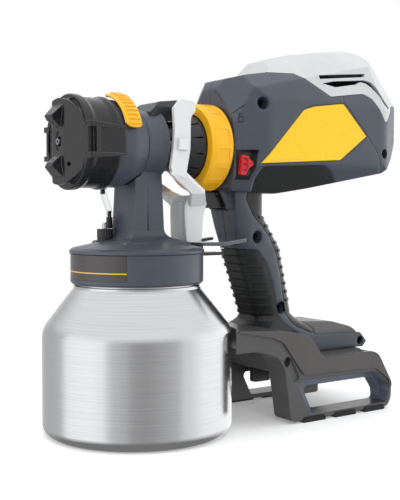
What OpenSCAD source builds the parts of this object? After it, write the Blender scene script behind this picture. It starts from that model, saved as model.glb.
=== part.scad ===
// Cordless cup sprayer: a handheld air spray gun. A turbine in the housing blows air
// through the barrel to the air cap, and paint rises from the metal cup under the barrel.
// Frame: origin at the middle of the cup's base on the floor, +Z up, the gun sprays
// towards -X, the user's left side is -Y. Lengths are millimetres.

/* [Cup and lid] */
// Outer diameter of the paint cup
cup_d = 120; // [96:1:144]
// Height of the cup's straight wall above the floor
cup_wall_h = 66; // [53:1:79]
// Height of the cup's cone from the wall to the neck
cup_cone_h = 26; // [21:1:31]
// Thickness of the cup's metal
cup_t = 1.2; // [1:0.1:1.5]
// Outer diameter of the threaded collar under the lid
collar_d = 84; // [76:1:90]
// Height of the collar
collar_h = 18.9; // [15:0.1:22]
// Fore and aft size of the pillar that carries the barrel
pillar_l = 20; // [16:0.5:24]
// Width of the pillar
pillar_w = 28; // [22:0.5:34]

/* [Spray head] */
// Outer diameter of the air cap's skirt
cap_d = 57.6; // [54:0.2:59]
// How far the two air horns stand in front of the cap's rim
horn_reach = 12.3; // [9:0.1:15]
// Outer diameter of the barrel behind the nozzle nut
barrel_d = 43.4; // [38:0.2:46]
// Number of grip ribs on the spray width lever
lever_ribs = 11; // [8:1:14]

/* [Trigger] */
// Thickness of the trigger's side plates
trigger_t = 2.5; // [2:0.1:3]
// Width of the trigger's finger blade at its front
blade_w = 18; // [14:0.5:22]

/* [Lock ring] */
// Outer diameter of the lock ring
ring_d = 57; // [54:0.2:58]
// Number of grip pockets round the lock ring
ring_pockets = 14; // [10:1:18]

/* [Housing] */
// Length of the housing from its front face to its rear face
body_l = 157; // [126:1:188]
// Full width of the housing
body_w = 68; // [60:1:81]
// Wall thickness of the housing
wall = 2.6; // [2:0.1:3.2]
// Depth of the recesses that hold the rubber skins and the side panels
skin = 1.8; // [1.4:0.1:2.2]
// Gap between neighbouring housing pieces
seam = 0.4; // [0.25:0.05:0.5]
// Full width of the grip
grip_w = 34; // [28:0.5:40]
// Number of ribs across the grip's front rubber
grip_ribs = 8; // [6:1:10]

/* [Stand] */
// Full width of the stand over its side frames
stand_w = 92; // [84:1:110]
// Thickness of each side frame
frame_t = 17; // [14:0.5:19]

/* [Hidden] */
$fn = 64;

// heights that follow from the cup
neck_z = cup_wall_h + cup_cone_h;
collar_z = neck_z + 2.5;
lid_z = collar_z + collar_h + 0.3;
lid_top = lid_z + 7.8;
pillar_h = 59.8;
axis_z = lid_top + pillar_h;

// the outlines of the housing are written for this axis height and length
drawn_axis = 181.3;
drawn_body_l = 157;
rise = axis_z - drawn_axis;
body_x = 57;

// the grip takes up every change of height between these two levels
grip_low = 60;
grip_high = 148;

// positions along the barrel, measured along X from the cup's axis
cap_rim_x = -49.2;
cap_back_x = -27.1;
nut_back_x = -4.3;
barrel_back_x = 10.3;
ring_front_x = 39.6;
ring_back_x = 55.5;

// needle, cross bar and trigger pivot
needle_r = 1.6;
carrier_x = 18.2;
pivot_x = 20;
pivot_dz = 22.2;

socket_r = 24.4;
socket_bore = 21.3;
plug_r = 20.9;

fan_z = axis_z + 9;
fan_x = 88;

// colours
blue_grey = [0.30, 0.33, 0.37];
charcoal = [0.16, 0.16, 0.17];
yellow = [0.98, 0.76, 0.10];
silver = [0.84, 0.85, 0.85];
metal = [0.78, 0.79, 0.80];
black = [0.09, 0.09, 0.10];

// ---------- outline tools ----------

function unit(v) = v / norm(v);
function left_of(v) = [-v[1], v[0]];
function xy(p) = [p[0], p[1]];
function area2(p, i = 0) = i >= len(p) ? 0 :
  cross(xy(p[i]), xy(p[(i + 1) % len(p)])) + area2(p, i + 1);

// corner i of an outline moved inwards by g
function moved(p, i, g, s) =
  let (n = len(p), a = xy(p[(i + n - 1) % n]), b = xy(p[i]), c = xy(p[(i + 1) % n]),
    m = s * left_of(unit(b - a)), k = s * left_of(unit(c - b)))
  b + g * (m + k) / (1 + m * k);

// distance from point q to the edge from a to b
function edge_gap(q, a, b) =
  let (t = max(0, min(1, (q - a) * (b - a) / ((b - a) * (b - a))))) norm(q - a - t * (b - a));

// points of the arc from a to b round m
function arc_points(a, b, m, steps = 7) =
  [for (k = [0 : steps]) m + unit((a - m) * (1 - k / steps) + (b - m) * k / steps) * norm(a - m)];

// a closed outline of [x, y, corner radius] points, moved inwards by g; a corner whose
// circle clears every other edge is a true arc, the others are fans of short edges
module soft_outline(p, g = 0) {
  n = len(p);
  s = area2(p) > 0 ? 1 : -1;
  v = [for (i = [0 : n - 1]) moved(p, i, g, s)];
  bend = [for (i = [0 : n - 1]) s * cross(v[i] - v[(i + n - 1) % n], v[(i + 1) % n] - v[i])];
  to_last = [for (i = [0 : n - 1]) unit(v[(i + n - 1) % n] - v[i])];
  to_next = [for (i = [0 : n - 1]) unit(v[(i + 1) % n] - v[i])];
  // half of the angle inside each corner
  half = [for (i = [0 : n - 1]) acos(max(-1, min(1, to_last[i] * to_next[i]))) / 2];
  room = [for (i = [0 : n - 1]) 0.48 * min(norm(v[(i + n - 1) % n] - v[i]),
    norm(v[(i + 1) % n] - v[i]))];
  r = [for (i = [0 : n - 1]) p[i][2] == 0 || half[i] > 88 ? 0 :
    max(0, min(bend[i] > 0 ? p[i][2] - g : p[i][2] + g, room[i] * tan(half[i])))];
  middle = [for (i = [0 : n - 1]) r[i] == 0 ? v[i] :
    v[i] + unit(to_last[i] + to_next[i]) * r[i] / sin(half[i])];
  start = [for (i = [0 : n - 1]) v[i] + to_last[i] * r[i] / tan(half[i])];
  end = [for (i = [0 : n - 1]) v[i] + to_next[i] * r[i] / tan(half[i])];
  left = min([for (q = v) q[0]]);
  clear = [for (i = [0 : n - 1]) r[i] > 0 && (left < 0 || middle[i][0] > r[i]) &&
    min([for (k = [0 : n - 1]) k == i || k == (i + n - 1) % n ? 1e6 :
      edge_gap(middle[i], v[k], v[(k + 1) % n])]) > 1.01 * r[i]];
  difference() {
    union() {
      polygon([for (i = [0 : n - 1]) for (q = r[i] == 0 ? [v[i]] : clear[i] ?
        [start[i], end[i]] : arc_points(start[i], end[i], middle[i])) q]);
      for (i = [0 : n - 1]) {
        if (clear[i] && bend[i] > 0) translate(middle[i]) circle(r = r[i]);
      }
    }
    for (i = [0 : n - 1]) {
      if (clear[i] && bend[i] < 0) translate(middle[i]) circle(r = r[i]);
    }
  }
}

// an X-Z outline extruded across from y0 to y1
module side_prism(p, y0, y1, g = 0) {
  translate([0, y1, 0]) rotate([90, 0, 0]) linear_extrude(y1 - y0) soft_outline(p, g);
}

// an X-Y outline extruded upwards from z0 to z1
module plan_prism(p, z0, z1, g = 0) {
  translate([0, 0, z0]) linear_extrude(z1 - z0) soft_outline(p, g);
}

// a Y-Z outline extruded backwards from x0 to x1
module front_prism(p, x0, x1, g = 0) {
  translate([x0, 0, 0]) rotate([90, 0, 90]) linear_extrude(x1 - x0) soft_outline(p, g);
}

// a ring of [x, radius, corner radius] points turned round the barrel's axis
module lathe_x(p) {
  translate([0, 0, axis_z]) rotate([0, 90, 0]) rotate_extrude() {
    soft_outline([for (q = p) [q[1], q[0], len(q) > 2 ? q[2] : 0]]);
  }
}

// the same over part of a turn, from angle a at the top towards -Y
module lathe_x_part(p, a, sweep) {
  translate([0, 0, axis_z]) rotate([0, 90, 0]) rotate([0, 0, 180 + a]) {
    rotate_extrude(angle = sweep) polygon([for (q = p) [q[1], q[0]]]);
  }
}

// a ring of [radius, z] points turned round the cup's axis
module lathe_z(p) {
  rotate_extrude() soft_outline([for (q = p) [q[0], q[1], len(q) > 2 ? q[2] : 0]]);
}

// a round bar along the barrel's axis
module bar_x(x0, x1, r) {
  translate([x0, 0, axis_z]) rotate([0, 90, 0]) cylinder(h = x1 - x0, r = r);
}

// a round bar across the gun
module bar_y(x, z, y0, y1, r) {
  translate([x, y1, z]) rotate([90, 0, 0]) cylinder(h = y1 - y0, r = r);
}

// a block from one corner to the opposite one
module block(a, b) {
  translate(a) cube(b - a);
}

module both_sides() {
  children();
  mirror([0, 1, 0]) children();
}

// ---------- cup ----------

cup_r = cup_d / 2;
collar_r = collar_d / 2;
collar_in = collar_r - 2.6;
neck_r = collar_in - 1.8;
mouth_z = collar_z + collar_h - 3.4;

module cup() {
  step_r = collar_r - 2;
  color(metal) difference() {
    union() {
      lathe_z([[0, 0], [cup_r, 0, 7], [cup_r, cup_wall_h, 16], [step_r, neck_z, 1.5],
        [step_r, neck_z + 1.6, 0.6], [neck_r, neck_z + 1.6], [neck_r, mouth_z], [0, mouth_z]]);
      // turns of the neck's thread
      for (i = [0 : 2]) {
        lathe_z([[neck_r - 0.2, neck_z + 5 + i * 3.6], [neck_r + 1.4, neck_z + 5.6 + i * 3.6],
          [neck_r + 1.4, neck_z + 6.4 + i * 3.6], [neck_r - 0.2, neck_z + 7 + i * 3.6]]);
      }
    }
    lathe_z([[0, cup_t], [cup_r - cup_t, cup_t, 6], [cup_r - cup_t, cup_wall_h - 0.3, 15],
      [neck_r - cup_t, neck_z - 1.5, 2], [neck_r - cup_t, mouth_z + 1], [0, mouth_z + 1]]);
  }
}

module cup_gasket() {
  color(black) lathe_z([[neck_r - 4.2, mouth_z + 0.02], [neck_r, mouth_z + 0.02],
    [neck_r, mouth_z + 1.8, 0.4], [neck_r - 4.2, mouth_z + 1.8, 0.4]]);
}

tube_x = 1;
tube_r = 4;
tube_low = 5;

module suction_tube() {
  color(silver) difference() {
    translate([tube_x, 0, tube_low]) cylinder(h = lid_z - 3 - tube_low, r = tube_r);
    translate([tube_x, 0, tube_low - 1]) cylinder(h = lid_z, r = tube_r - 1.2);
    // slanted mouth that the paint enters
    translate([tube_x, 0, tube_low]) rotate([0, 35, 0]) block([-12, -8, -8], [12, 8, 0]);
  }
}

module tube_seal() {
  color(black) translate([tube_x, 0, lid_z - 14.3]) difference() {
    cylinder(h = 2, r = tube_r + 2.4);
    translate([0, 0, -1]) cylinder(h = 4, r = tube_r + 0.02);
  }
}

// ---------- collar, lid, pillar and barrel ----------

label_low = 3.2;
label_half = 51;

module collar() {
  top = collar_z + collar_h;
  color(blue_grey) difference() {
    lathe_z([[collar_in, collar_z], [collar_r - 1.2, collar_z], [collar_r, collar_z + 1.4],
      [collar_r, top], [neck_r - 4, top], [neck_r - 4, mouth_z + 1.85],
      [collar_in, mouth_z + 1.85]]);
    // recess for the label on the front
    rotate([0, 0, 180 - label_half]) rotate_extrude(angle = 2 * label_half) {
      translate([collar_r - 0.55, collar_z + label_low]) square([2, collar_h]);
    }
  }
}

module collar_label() {
  color(charcoal) rotate([0, 0, 180.4 - label_half]) rotate_extrude(angle = 2 * label_half - 0.8) {
    translate([collar_r - 0.48, collar_z + label_low + 0.2]) {
      square([0.4, collar_h - label_low - 0.4]);
    }
  }
}

barrel_r = barrel_d / 2;
thread_r = barrel_r - 1.6;
nut_r = cap_d / 2 - 1.8;
nut_in = nut_r - 2.4;
valve_x = -15.8;
valve_y = 13;

module pillar_shape() {
  front = -pillar_l / 2 + 0.7;
  back = pillar_l / 2 + 1;
  foot = lid_top - 0.9;
  intersection() {
    side_prism([[front - 12, foot - 2, 0], [back + 14, foot - 2, 0], [back + 13, foot, 0],
      [back + 0.6, foot + 3.4, 7], [back - 1, axis_z - 8, 0], [front + 1.2, axis_z - 8, 0],
      [front - 0.8, foot + 3.4, 7], [front - 11, foot, 0]], -collar_r, collar_r);
    front_prism([[-pillar_w / 2 - 11, foot - 2, 0], [pillar_w / 2 + 11, foot - 2, 0],
      [pillar_w / 2 + 11, foot - 0.3, 0], [pillar_w / 2, foot + 3.2, 6],
      [pillar_w / 2 - 1.5, axis_z - 8, 0], [-pillar_w / 2 + 1.5, axis_z - 8, 0],
      [-pillar_w / 2, foot + 3.2, 6], [-pillar_w / 2 - 11, foot - 0.3, 0]], -40, 40);
    // rounded front edges of the pillar
    plan_prism([[front - 14, -pillar_w / 2 - 10, 9], [back + 16, -pillar_w / 2 - 10, 4],
      [back + 16, pillar_w / 2 + 10, 4], [front - 14, pillar_w / 2 + 10, 9]],
      foot - 3, axis_z);
  }
}

module spray_body() {
  groove_x = -1.5;
  color(blue_grey) difference() {
    union() {
      // lid with its low cone
      lathe_z([[0, lid_z], [collar_r + 0.6, lid_z], [collar_r + 0.6, lid_z + 1.9, 0.8],
        [collar_r - 1.5, lid_z + 3.3], [20, lid_top], [0, lid_top]]);
      translate([0, 0, mouth_z - 1]) cylinder(h = lid_z - mouth_z + 1.5, r = neck_r - 5);
      // socket for the suction tube
      translate([tube_x, 0, lid_z - 12]) cylinder(h = 12.5, r = tube_r + 3);
      difference() {
        pillar_shape();
        // room for the nozzle nut
        lathe_x([[-40, 0], [-40, nut_r + 0.6], [-14, nut_r + 0.6], [nut_back_x + 0.1, barrel_r + 1.1],
          [nut_back_x + 0.1, 0]]);
      }
      // barrel
      lathe_x([[nut_back_x + 0.3, barrel_r - 3], [nut_back_x + 0.3, barrel_r - 0.5],
        [nut_back_x + 0.8, barrel_r], [6, barrel_r, 8], [barrel_back_x, barrel_r + 1.9, 0.6],
        [barrel_back_x, barrel_r - 3]]);
      bar_x(4.3, barrel_back_x, barrel_r - 2);
      // inner tube that carries the paint to the nozzle, and the spigot for the nut
      bar_x(-22, 6, 7.5);
      lathe_x([[-11.6, thread_r - 2.5], [-11.6, thread_r], [nut_back_x + 2, thread_r],
        [nut_back_x + 2, thread_r - 2.5]]);
      lathe_x([[-5, 6], [-5, thread_r - 0.1], [nut_back_x + 2, thread_r - 0.1],
        [nut_back_x + 2, 6]]);
      // bracket for the guard fork
      block([collar_r - 8, -6, lid_z + 0.5], [collar_r + 5, 6, lid_top - 4.3]);
    }
    // grooves down the pillar's sides
    both_sides() block([groove_x, -pillar_w, lid_top + 6],
      [groove_x + 1.8, 1 - pillar_w / 2, axis_z - barrel_r - 1]);
    // paint way up the pillar, and needle way through the barrel
    translate([tube_x, 0, lid_z - 13]) cylinder(h = 13, r = tube_r + 0.05);
    translate([tube_x, 0, lid_z - 1]) cylinder(h = pillar_h + 8, r = 2.4);
    bar_x(-30, -14.5, 5.25);
    bar_x(-30, 4, 2.6);
    bar_x(-30, 20, needle_r + 0.05);
    bar_x(5, 20, 5.05);
    // air ways round the paint tube
    for (i = [0 : 5]) {
      translate([-10, 0, axis_z]) rotate([i * 60 + 30, 0, 0]) translate([0, 0, 12.5]) {
        rotate([0, 90, 0]) cylinder(h = 30, r = 3);
      }
    }
    // hole for the vent valve
    translate([valve_x, valve_y, mouth_z - 3]) cylinder(h = 20, r = 2.55);
    translate([valve_x, valve_y, lid_top - 1.6]) cylinder(h = 20, r = 5.9);
  }
}

module packing_nut() {
  color(metal) difference() {
    bar_x(5.1, 13.4, 5);
    bar_x(4, 20, needle_r + 0.05);
    // slot for the spanner
    translate([12, -1, axis_z - 8]) cube([3, 2, 16]);
  }
}

module top_hood() {
  half = 13;
  color(charcoal) difference() {
    intersection() {
      side_prism([[2.5, axis_z + 12, 0], [27.2, axis_z + 17.2, 1], [27.2, axis_z + 26, 2],
        [24.5, axis_z + 29, 3], [9, axis_z + 27, 5], [2.5, axis_z + 20.5, 2]], -half, half);
      front_prism([[-half, axis_z + 10, 0], [half, axis_z + 10, 0], [half, axis_z + 24, 2],
        [half - 4, axis_z + 30, 3], [4 - half, axis_z + 30, 3], [-half, axis_z + 24, 2]], 0, 30);
    }
    // sits on the barrel and its rear collar
    lathe_x([[-5, 0], [-5, barrel_r + 0.02], [6, barrel_r + 0.02, 8],
      [barrel_back_x + 0.02, barrel_r + 1.92], [barrel_back_x + 0.02, 16.4], [30, 16.4],
      [30, 0]]);
    bar_y(pivot_x, axis_z + pivot_dz, -half - 1, half + 1, 2.42);
  }
}

// ---------- vent valve and hose ----------

hose_top_x = -19;
hose_top_y = 10;
hose_low = 137;

module valve_base() {
  color(black) difference() {
    union() {
      translate([valve_x, valve_y, lid_top - 1.55]) cylinder(h = 2.6, r = 5);
      translate([valve_x, valve_y, mouth_z - 4]) cylinder(h = lid_top - mouth_z + 3.6, r = 2.5);
    }
    translate([valve_x, valve_y, mouth_z - 5]) cylinder(h = 30, r = 1.2);
  }
}

module valve_nut() {
  nut_z = lid_top + 1.1;
  color(black) difference() {
    translate([valve_x, valve_y, nut_z]) cylinder(h = 6, r = 5.1);
    translate([valve_x, valve_y, nut_z - 1]) cylinder(h = 8, r = 1.25);
    // knurl
    for (i = [0 : 17]) {
      translate([valve_x, valve_y, nut_z + 0.8]) rotate([0, 0, i * 20]) {
        translate([5.3, 0, 0]) cylinder(h = 4.4, r = 0.45, $fn = 16);
      }
    }
  }
}

module valve_pin() {
  color(metal) {
    translate([valve_x, valve_y, lid_top - 1]) cylinder(h = 12.2, r = 1.15);
    translate([valve_x, valve_y, lid_top + 7.3]) cylinder(h = 3.2, r = 1.9);
  }
}

elbow_x = -13.6;
elbow_y = 12;

module hose_elbow() {
  low = lid_top + 7.3;
  color(black) difference() {
    union() {
      translate([elbow_x, elbow_y, low]) cylinder(h = rise + hose_low - low - 1, r = 2.4);
      translate([elbow_x, elbow_y, low]) cylinder(h = rise + hose_low - low + 3, r = 1.45);
    }
    translate([elbow_x, elbow_y, low + 1]) cylinder(h = 30, r = 0.8);
    translate([valve_x, valve_y, low - 1]) cylinder(h = 30, r = 2.1);
  }
}

// a tube with level rings along a rising path of [x, y, z] points
module rising_tube(path, r_out, r_in) {
  sides = 36;
  n = len(path);
  total = n * sides;
  ring = [for (k = [0 : sides - 1]) [cos(k * 360 / sides), sin(k * 360 / sides), 0]];
  points = concat([for (q = path) for (c = ring) q + r_out * c],
    [for (q = path) for (c = ring) q + r_in * c]);
  faces = [for (k = [0 : sides - 1]) let (m = (k + 1) % sides, low = total, top = n * sides - sides)
    for (t = concat([[k, m, low + m], [k, low + m, low + k],
      [top + m, top + k, low + top + k], [top + m, low + top + k, low + top + m]],
      [for (i = [0 : n - 2]) for (q = [0 : 3]) let (a = i * sides, b = a + sides)
        q == 0 ? [a + k, b + k, b + m] : q == 1 ? [a + k, b + m, a + m] :
        q == 2 ? [low + a + k, low + b + m, low + b + k] : [low + a + k, low + a + m, low + b + m]]))
      t];
  polyhedron(points, faces);
}

// clear hose that rises from the elbow to the nipple in an S-bend
module vent_hose() {
  steps = 10;
  climb = 11;
  z0 = rise + hose_low + 2.5;
  bend = [for (i = [0 : steps]) let (k = i / steps, w = (1 - cos(180 * k)) / 2)
    [elbow_x + (hose_top_x - elbow_x) * w, elbow_y + (hose_top_y - elbow_y) * w,
      z0 + climb * k]];
  color([0.86, 0.89, 0.90, 0.55]) {
    rising_tube(concat([[elbow_x, elbow_y, z0 - 3.5]], bend,
      [[hose_top_x, hose_top_y, z0 + climb + 3.2]]), 2.5, 1.5);
  }
}

module hose_nipple() {
  low = rise + hose_low + 13.5;
  color(black) difference() {
    union() {
      translate([hose_top_x, hose_top_y, low]) cylinder(h = axis_z - 20 - low, r = 1.45);
      translate([hose_top_x, hose_top_y, low + 3.4]) cylinder(h = 6, r = 2.6);
    }
    bar_x(-26, 0, nut_r + 0.02);
    translate([hose_top_x, hose_top_y, low - 1]) cylinder(h = 20, r = 0.8);
  }
}

// ---------- nozzle, nut, air cap and width lever ----------

lever_a = 5;
lever_sweep = 70;
lever_in = nut_r + 1.4;
lever_out = nut_r + 3.8;

module nozzle_nut() {
  spigot = cap_d / 2 - 3.6;
  color(blue_grey) difference() {
    lathe_x([[-34, nut_in - 1.8], [-34, spigot, 0.5], [-26.4, spigot], [-26.4, nut_r - 0.6],
      [-25.8, nut_r], [-15, nut_r, 14], [nut_back_x - 0.6, barrel_r + 0.8, 0.3],
      [nut_back_x, barrel_r + 0.2], [nut_back_x, thread_r + 0.2], [-12, thread_r + 0.2],
      [-12, nut_in], [-24.5, nut_in], [-24.5, nut_in - 1.8]]);
    // slot that the lever's stem passes through
    lathe_x_part([[-20.5, nut_in - 0.6], [-20.5, nut_r + 1], [-15.5, nut_r + 1],
      [-15.5, nut_in - 0.6]], -14, 74);
  }
}

module nozzle() {
  color(silver) difference() {
    lathe_x([[-55.2, 0], [-55.2, 1.9], [-52, 2.5], [-46, 4.2], [-38, 5.4], [-36, 8.6],
      [-27, 8.6], [-27, 6.4], [-22.4, 6.4], [-22.4, 5.2], [-15, 5.2], [-15, 0]]);
    bar_x(-60, -50, 1.0);
    lathe_x([[-53, 0], [-53, 1.0], [-49, needle_r + 0.6], [-44, 3.2], [-10, 3.2], [-10, 0]]);
  }
}

module nozzle_seal() {
  color(yellow) difference() {
    bar_x(-25.4, -22.6, 9.6);
    bar_x(-26, -22, 6.42);
  }
}

module needle() {
  color(metal) {
    lathe_x([[-54.3, 0], [-54.3, 0.55], [-50.2, needle_r], [carrier_x - 3.6, needle_r],
      [carrier_x - 3.6, 0]]);
  }
}

cap_r = cap_d / 2;

module horn() {
  base = cap_r - 3.4;
  tip = cap_rim_x - horn_reach;
  difference() {
    intersection() {
      side_prism([[-50, axis_z + 7.5, 0], [-48, axis_z + 9, 0], [-46, axis_z + base, 0],
        [-50.4, axis_z + base + 0.4, 1], [tip + 0.3, axis_z + 15.2, 0.8],
        [tip + 1.4, axis_z + 12.6, 0.5], [-53.8, axis_z + 7.5, 0]], -12, 12);
      front_prism([[-3.7, axis_z + 6, 0], [3.7, axis_z + 6, 0], [4.2, axis_z + 13, 0],
        [9, axis_z + 27, 0], [-9, axis_z + 27, 0], [-4.2, axis_z + 13, 0]], -70, -40);
    }
    // two jets that blow at the paint from the side
    for (k = [0, 1]) {
      translate([tip + 4.2 + k * 3.4, 0, axis_z + 11.6 - k * 1.8]) rotate([0, -150, 0]) {
        translate([0, 0, -3]) cylinder(h = 8, r = 0.9 - k * 0.2, $fn = 24);
      }
    }
  }
}

module cap_lug() {
  front = cap_rim_x - 0.2;
  intersection() {
    plan_prism([[front, -cap_r + 4, 0], [front, -cap_r - 2.4, 1], [-31, -cap_r - 1, 0],
      [-24.4, -cap_r - 0.6, 0.4], [-24.4, -cap_r + 1, 0], [-39.5, -cap_r + 1, 0],
      [-39.5, -cap_r + 4, 0]], axis_z - 14, axis_z + 14);
    side_prism([[front - 1, axis_z - 10.8, 0], [-22, axis_z - 8.4, 0], [-22, axis_z + 8.4, 0],
      [front - 1, axis_z + 10.8, 0]], -40, 0);
  }
}

module air_cap() {
  roof = -54.5;
  color(black) difference() {
    union() {
      // skirt with its waist
      lathe_x([[cap_rim_x, cap_r - 3.4], [cap_rim_x, cap_r - 0.7], [cap_rim_x + 0.8, cap_r],
        [-44.6, cap_r, 1], [-42, cap_r - 1.4, 2], [-31.5, cap_r - 1.4, 2],
        [-28.8, cap_r - 0.4, 1], [cap_back_x, cap_r - 0.4], [cap_back_x, cap_r - 3.5],
        [-40, cap_r - 3.5], [-42, cap_r - 5], [-46, cap_r - 4]]);
      // face with its flat band and sloping sides
      intersection() {
        plan_prism([[roof, -8, 1], [-46.9, -cap_r + 3, 0], [-42.4, -cap_r + 3, 0],
          [-48.5, -8, 2], [-48.5, 8, 2], [-42.4, cap_r - 3, 0], [-46.9, cap_r - 3, 0],
          [roof, 8, 1]], axis_z - cap_r, axis_z + cap_r);
        bar_x(-60, -40, cap_r - 3);
      }
      horn();
      translate([0, 0, 2 * axis_z]) mirror([0, 0, 1]) horn();
      both_sides() cap_lug();
    }
    // the nozzle's hole and the oval recess round it
    bar_x(-60, -50.3, 3.1);
    bar_x(-50.4, -40, 4.7);
    translate([roof - 1, 0, axis_z]) rotate([0, 90, 0]) linear_extrude(1.7) union() {
      square([5, 7.6], center = true);
      translate([2.5, 0]) circle(r = 3.8);
      translate([-2.5, 0]) circle(r = 3.8);
    }
    // opening and sunk panel in each lug
    both_sides() {
      block([cap_rim_x - 1.5, -cap_r - 4, axis_z - 7.4],
        [cap_rim_x + 4.2, -cap_r + 1.8, axis_z + 7.4]);
      block([-42.6, -cap_r - 4, axis_z - 7.4], [-25.4, -cap_r - 0.3, axis_z + 7.4]);
    }
    // small vent in the lower half of the face
    translate([-60, -11, axis_z - 13.7]) rotate([0, 90, 0]) cylinder(h = 22, r = 1.5, $fn = 24);
    translate([-60, 11, axis_z + 13.7]) rotate([0, 90, 0]) cylinder(h = 22, r = 1.5, $fn = 24);
  }
}

module width_lever() {
  pitch = lever_sweep / (lever_ribs + 1);
  front = -24.1;
  back = -12.4;
  color(yellow) {
    lathe_x([[-22.5, nut_in - 1.9], [-22.5, nut_in - 0.15], [-13.5, nut_in - 0.15],
      [-13.5, nut_in - 1.9]]);
    lathe_x_part([[-20, nut_in - 1.1], [-20, lever_in + 0.5], [-16, lever_in + 0.5],
      [-16, nut_in - 1.1]], 30, 24);
    intersection() {
      union() {
        lathe_x_part([[front, lever_in + 0.8], [front + 0.6, lever_out - 0.5],
          [front + 2.4, lever_out], [back - 2.2, lever_out], [back - 0.4, lever_out - 1],
          [back, lever_in], [front + 1, lever_in]], lever_a, lever_sweep);
        for (i = [1 : lever_ribs]) {
          translate([0, 0, axis_z]) rotate([lever_a + i * pitch, 0, 0]) {
            block([front + 2.2, -0.7, lever_in + 0.5], [back - 1.8, 0.7, lever_out + 0.8]);
          }
        }
      }
      // rounded tip below the thumb
      side_prism([[front - 1, axis_z + 8.2, 6], [back + 1, axis_z + 8.2, 6],
        [back + 1, axis_z + 40, 0], [front - 1, axis_z + 40, 0]], -50, 20);
    }
  }
}

// ---------- trigger, needle carrier and rear plug ----------

plate_y = 24;

module trigger_plate() {
  difference() {
    side_prism([[10, axis_z - 15.6, 2], [20.8, axis_z - 22, 1.5], [24.6, axis_z - 3, 30],
      [25, axis_z + 17.5, 12], [28.8, axis_z + 21.2, 2], [27.9, axis_z + 27, 2.5],
      [17.2, axis_z + 27.6, 4], [12.3, axis_z + 22, 1.6], [13, axis_z + 8, 12],
      [12, axis_z - 3, 12]], -plate_y, trigger_t - plate_y);
    // blind seat for the pivot pin, and the hole the carrier passes through
    bar_y(pivot_x, axis_z + pivot_dz, -plate_y + 1, 0, 2.46);
    bar_y(carrier_x, axis_z, -plate_y - 1, 0, 3.4);
  }
}

module trigger_shoulder() {
  hull() {
    block([10.6, -plate_y, axis_z - 19], [20.8, trigger_t - plate_y, axis_z - 16.5]);
    block([28.5, -plate_y + 4, axis_z - 30.5], [38.5, trigger_t + 3.5 - plate_y, axis_z - 28]);
  }
  hull() {
    block([28.5, -plate_y + 4, axis_z - 30.5], [38.5, trigger_t + 3.5 - plate_y, axis_z - 28]);
    block([33.2, -12, axis_z - 38], [45, -12 + trigger_t, axis_z - 33]);
  }
}

blade_low = 61.6;

module trigger_blade() {
  low = axis_z - blade_low;
  high = axis_z - 31;
  front = blade_w / 2;
  difference() {
    intersection() {
      side_prism([[31.6, low, 2], [41.6, low, 1], [42.8, axis_z - 45, 20], [45.4, high - 5, 1],
        [40.5, high - 1, 2], [32.6, high, 3], [30.4, axis_z - 40, 20]], -14, 14);
      plan_prism([[30, -front, 3], [46, -front - 3.6, 1], [46, front + 3.6, 1],
        [30, front, 3]], low - 1, high + 1);
    }
    // hollow behind the finger face
    plan_prism([[38.4, -front + 0.4, 2], [60, -front - 1.2, 0], [60, front + 1.2, 0],
      [38.4, front - 0.4, 2]], low - 5, high + 5);
    // concave finger face
    translate([23.6, 0, low - 5]) cylinder(h = 50, r = 10.6);
  }
}

module trigger() {
  color(silver) {
    both_sides() trigger_plate();
    both_sides() trigger_shoulder();
    trigger_blade();
    // bridge that ties the two shoulders to the blade
    block([32.4, -blade_w / 2 - 2, axis_z - 35], [36, blade_w / 2 + 2, axis_z - 31.8]);
  }
}

module trigger_pin() {
  color(metal) bar_y(pivot_x, axis_z + pivot_dz, 1.2 - plate_y, plate_y - 1.2, 2.4);
}

module needle_carrier() {
  color(silver) {
    bar_y(carrier_x, axis_z, -plate_y - 1.6, plate_y + 1.6, 3);
    both_sides() block([carrier_x - 3.6, -plate_y - 2.6, axis_z - 3.6],
      [carrier_x + 3.6, -plate_y - 0.3, axis_z + 3.6]);
    bar_x(carrier_x - 3.55, carrier_x + 3.4, 3.5);
  }
}

spring_back = 37;

// one unbroken coil of wire round the X axis: turns, coil radius, wire radius, length
module coil(turns, coil_r, wire_r, length) {
  per_turn = 10;
  sides = 6;
  n = turns * per_turn;
  tilt = atan(length / turns / (2 * PI * coil_r));
  points = [for (i = [0 : n]) let (a = i * 360 / per_turn) for (k = [0 : sides - 1])
    let (b = k * 360 / sides, q = coil_r + wire_r * cos(b), w = wire_r * sin(b))
    [i * length / n + w * cos(tilt), q * cos(a) + w * sin(tilt) * sin(a),
      q * sin(a) - w * sin(tilt) * cos(a)]];
  faces = concat([[for (k = [0 : sides - 1]) k]],
    [for (i = [0 : n - 1]) for (k = [0 : sides - 1]) for (half = [0, 1])
      let (m = (k + 1) % sides, a = i * sides, b = a + sides)
      half == 0 ? [a + k, b + k, b + m] : [a + k, b + m, a + m]],
    [[for (k = [0 : sides - 1]) n * sides + sides - 1 - k]]);
  polyhedron(points, faces);
}

module needle_spring() {
  color(metal) translate([carrier_x + 4.2, 0, axis_z]) {
    coil(7, 4.2, 0.65, spring_back - carrier_x - 5);
  }
}

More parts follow.
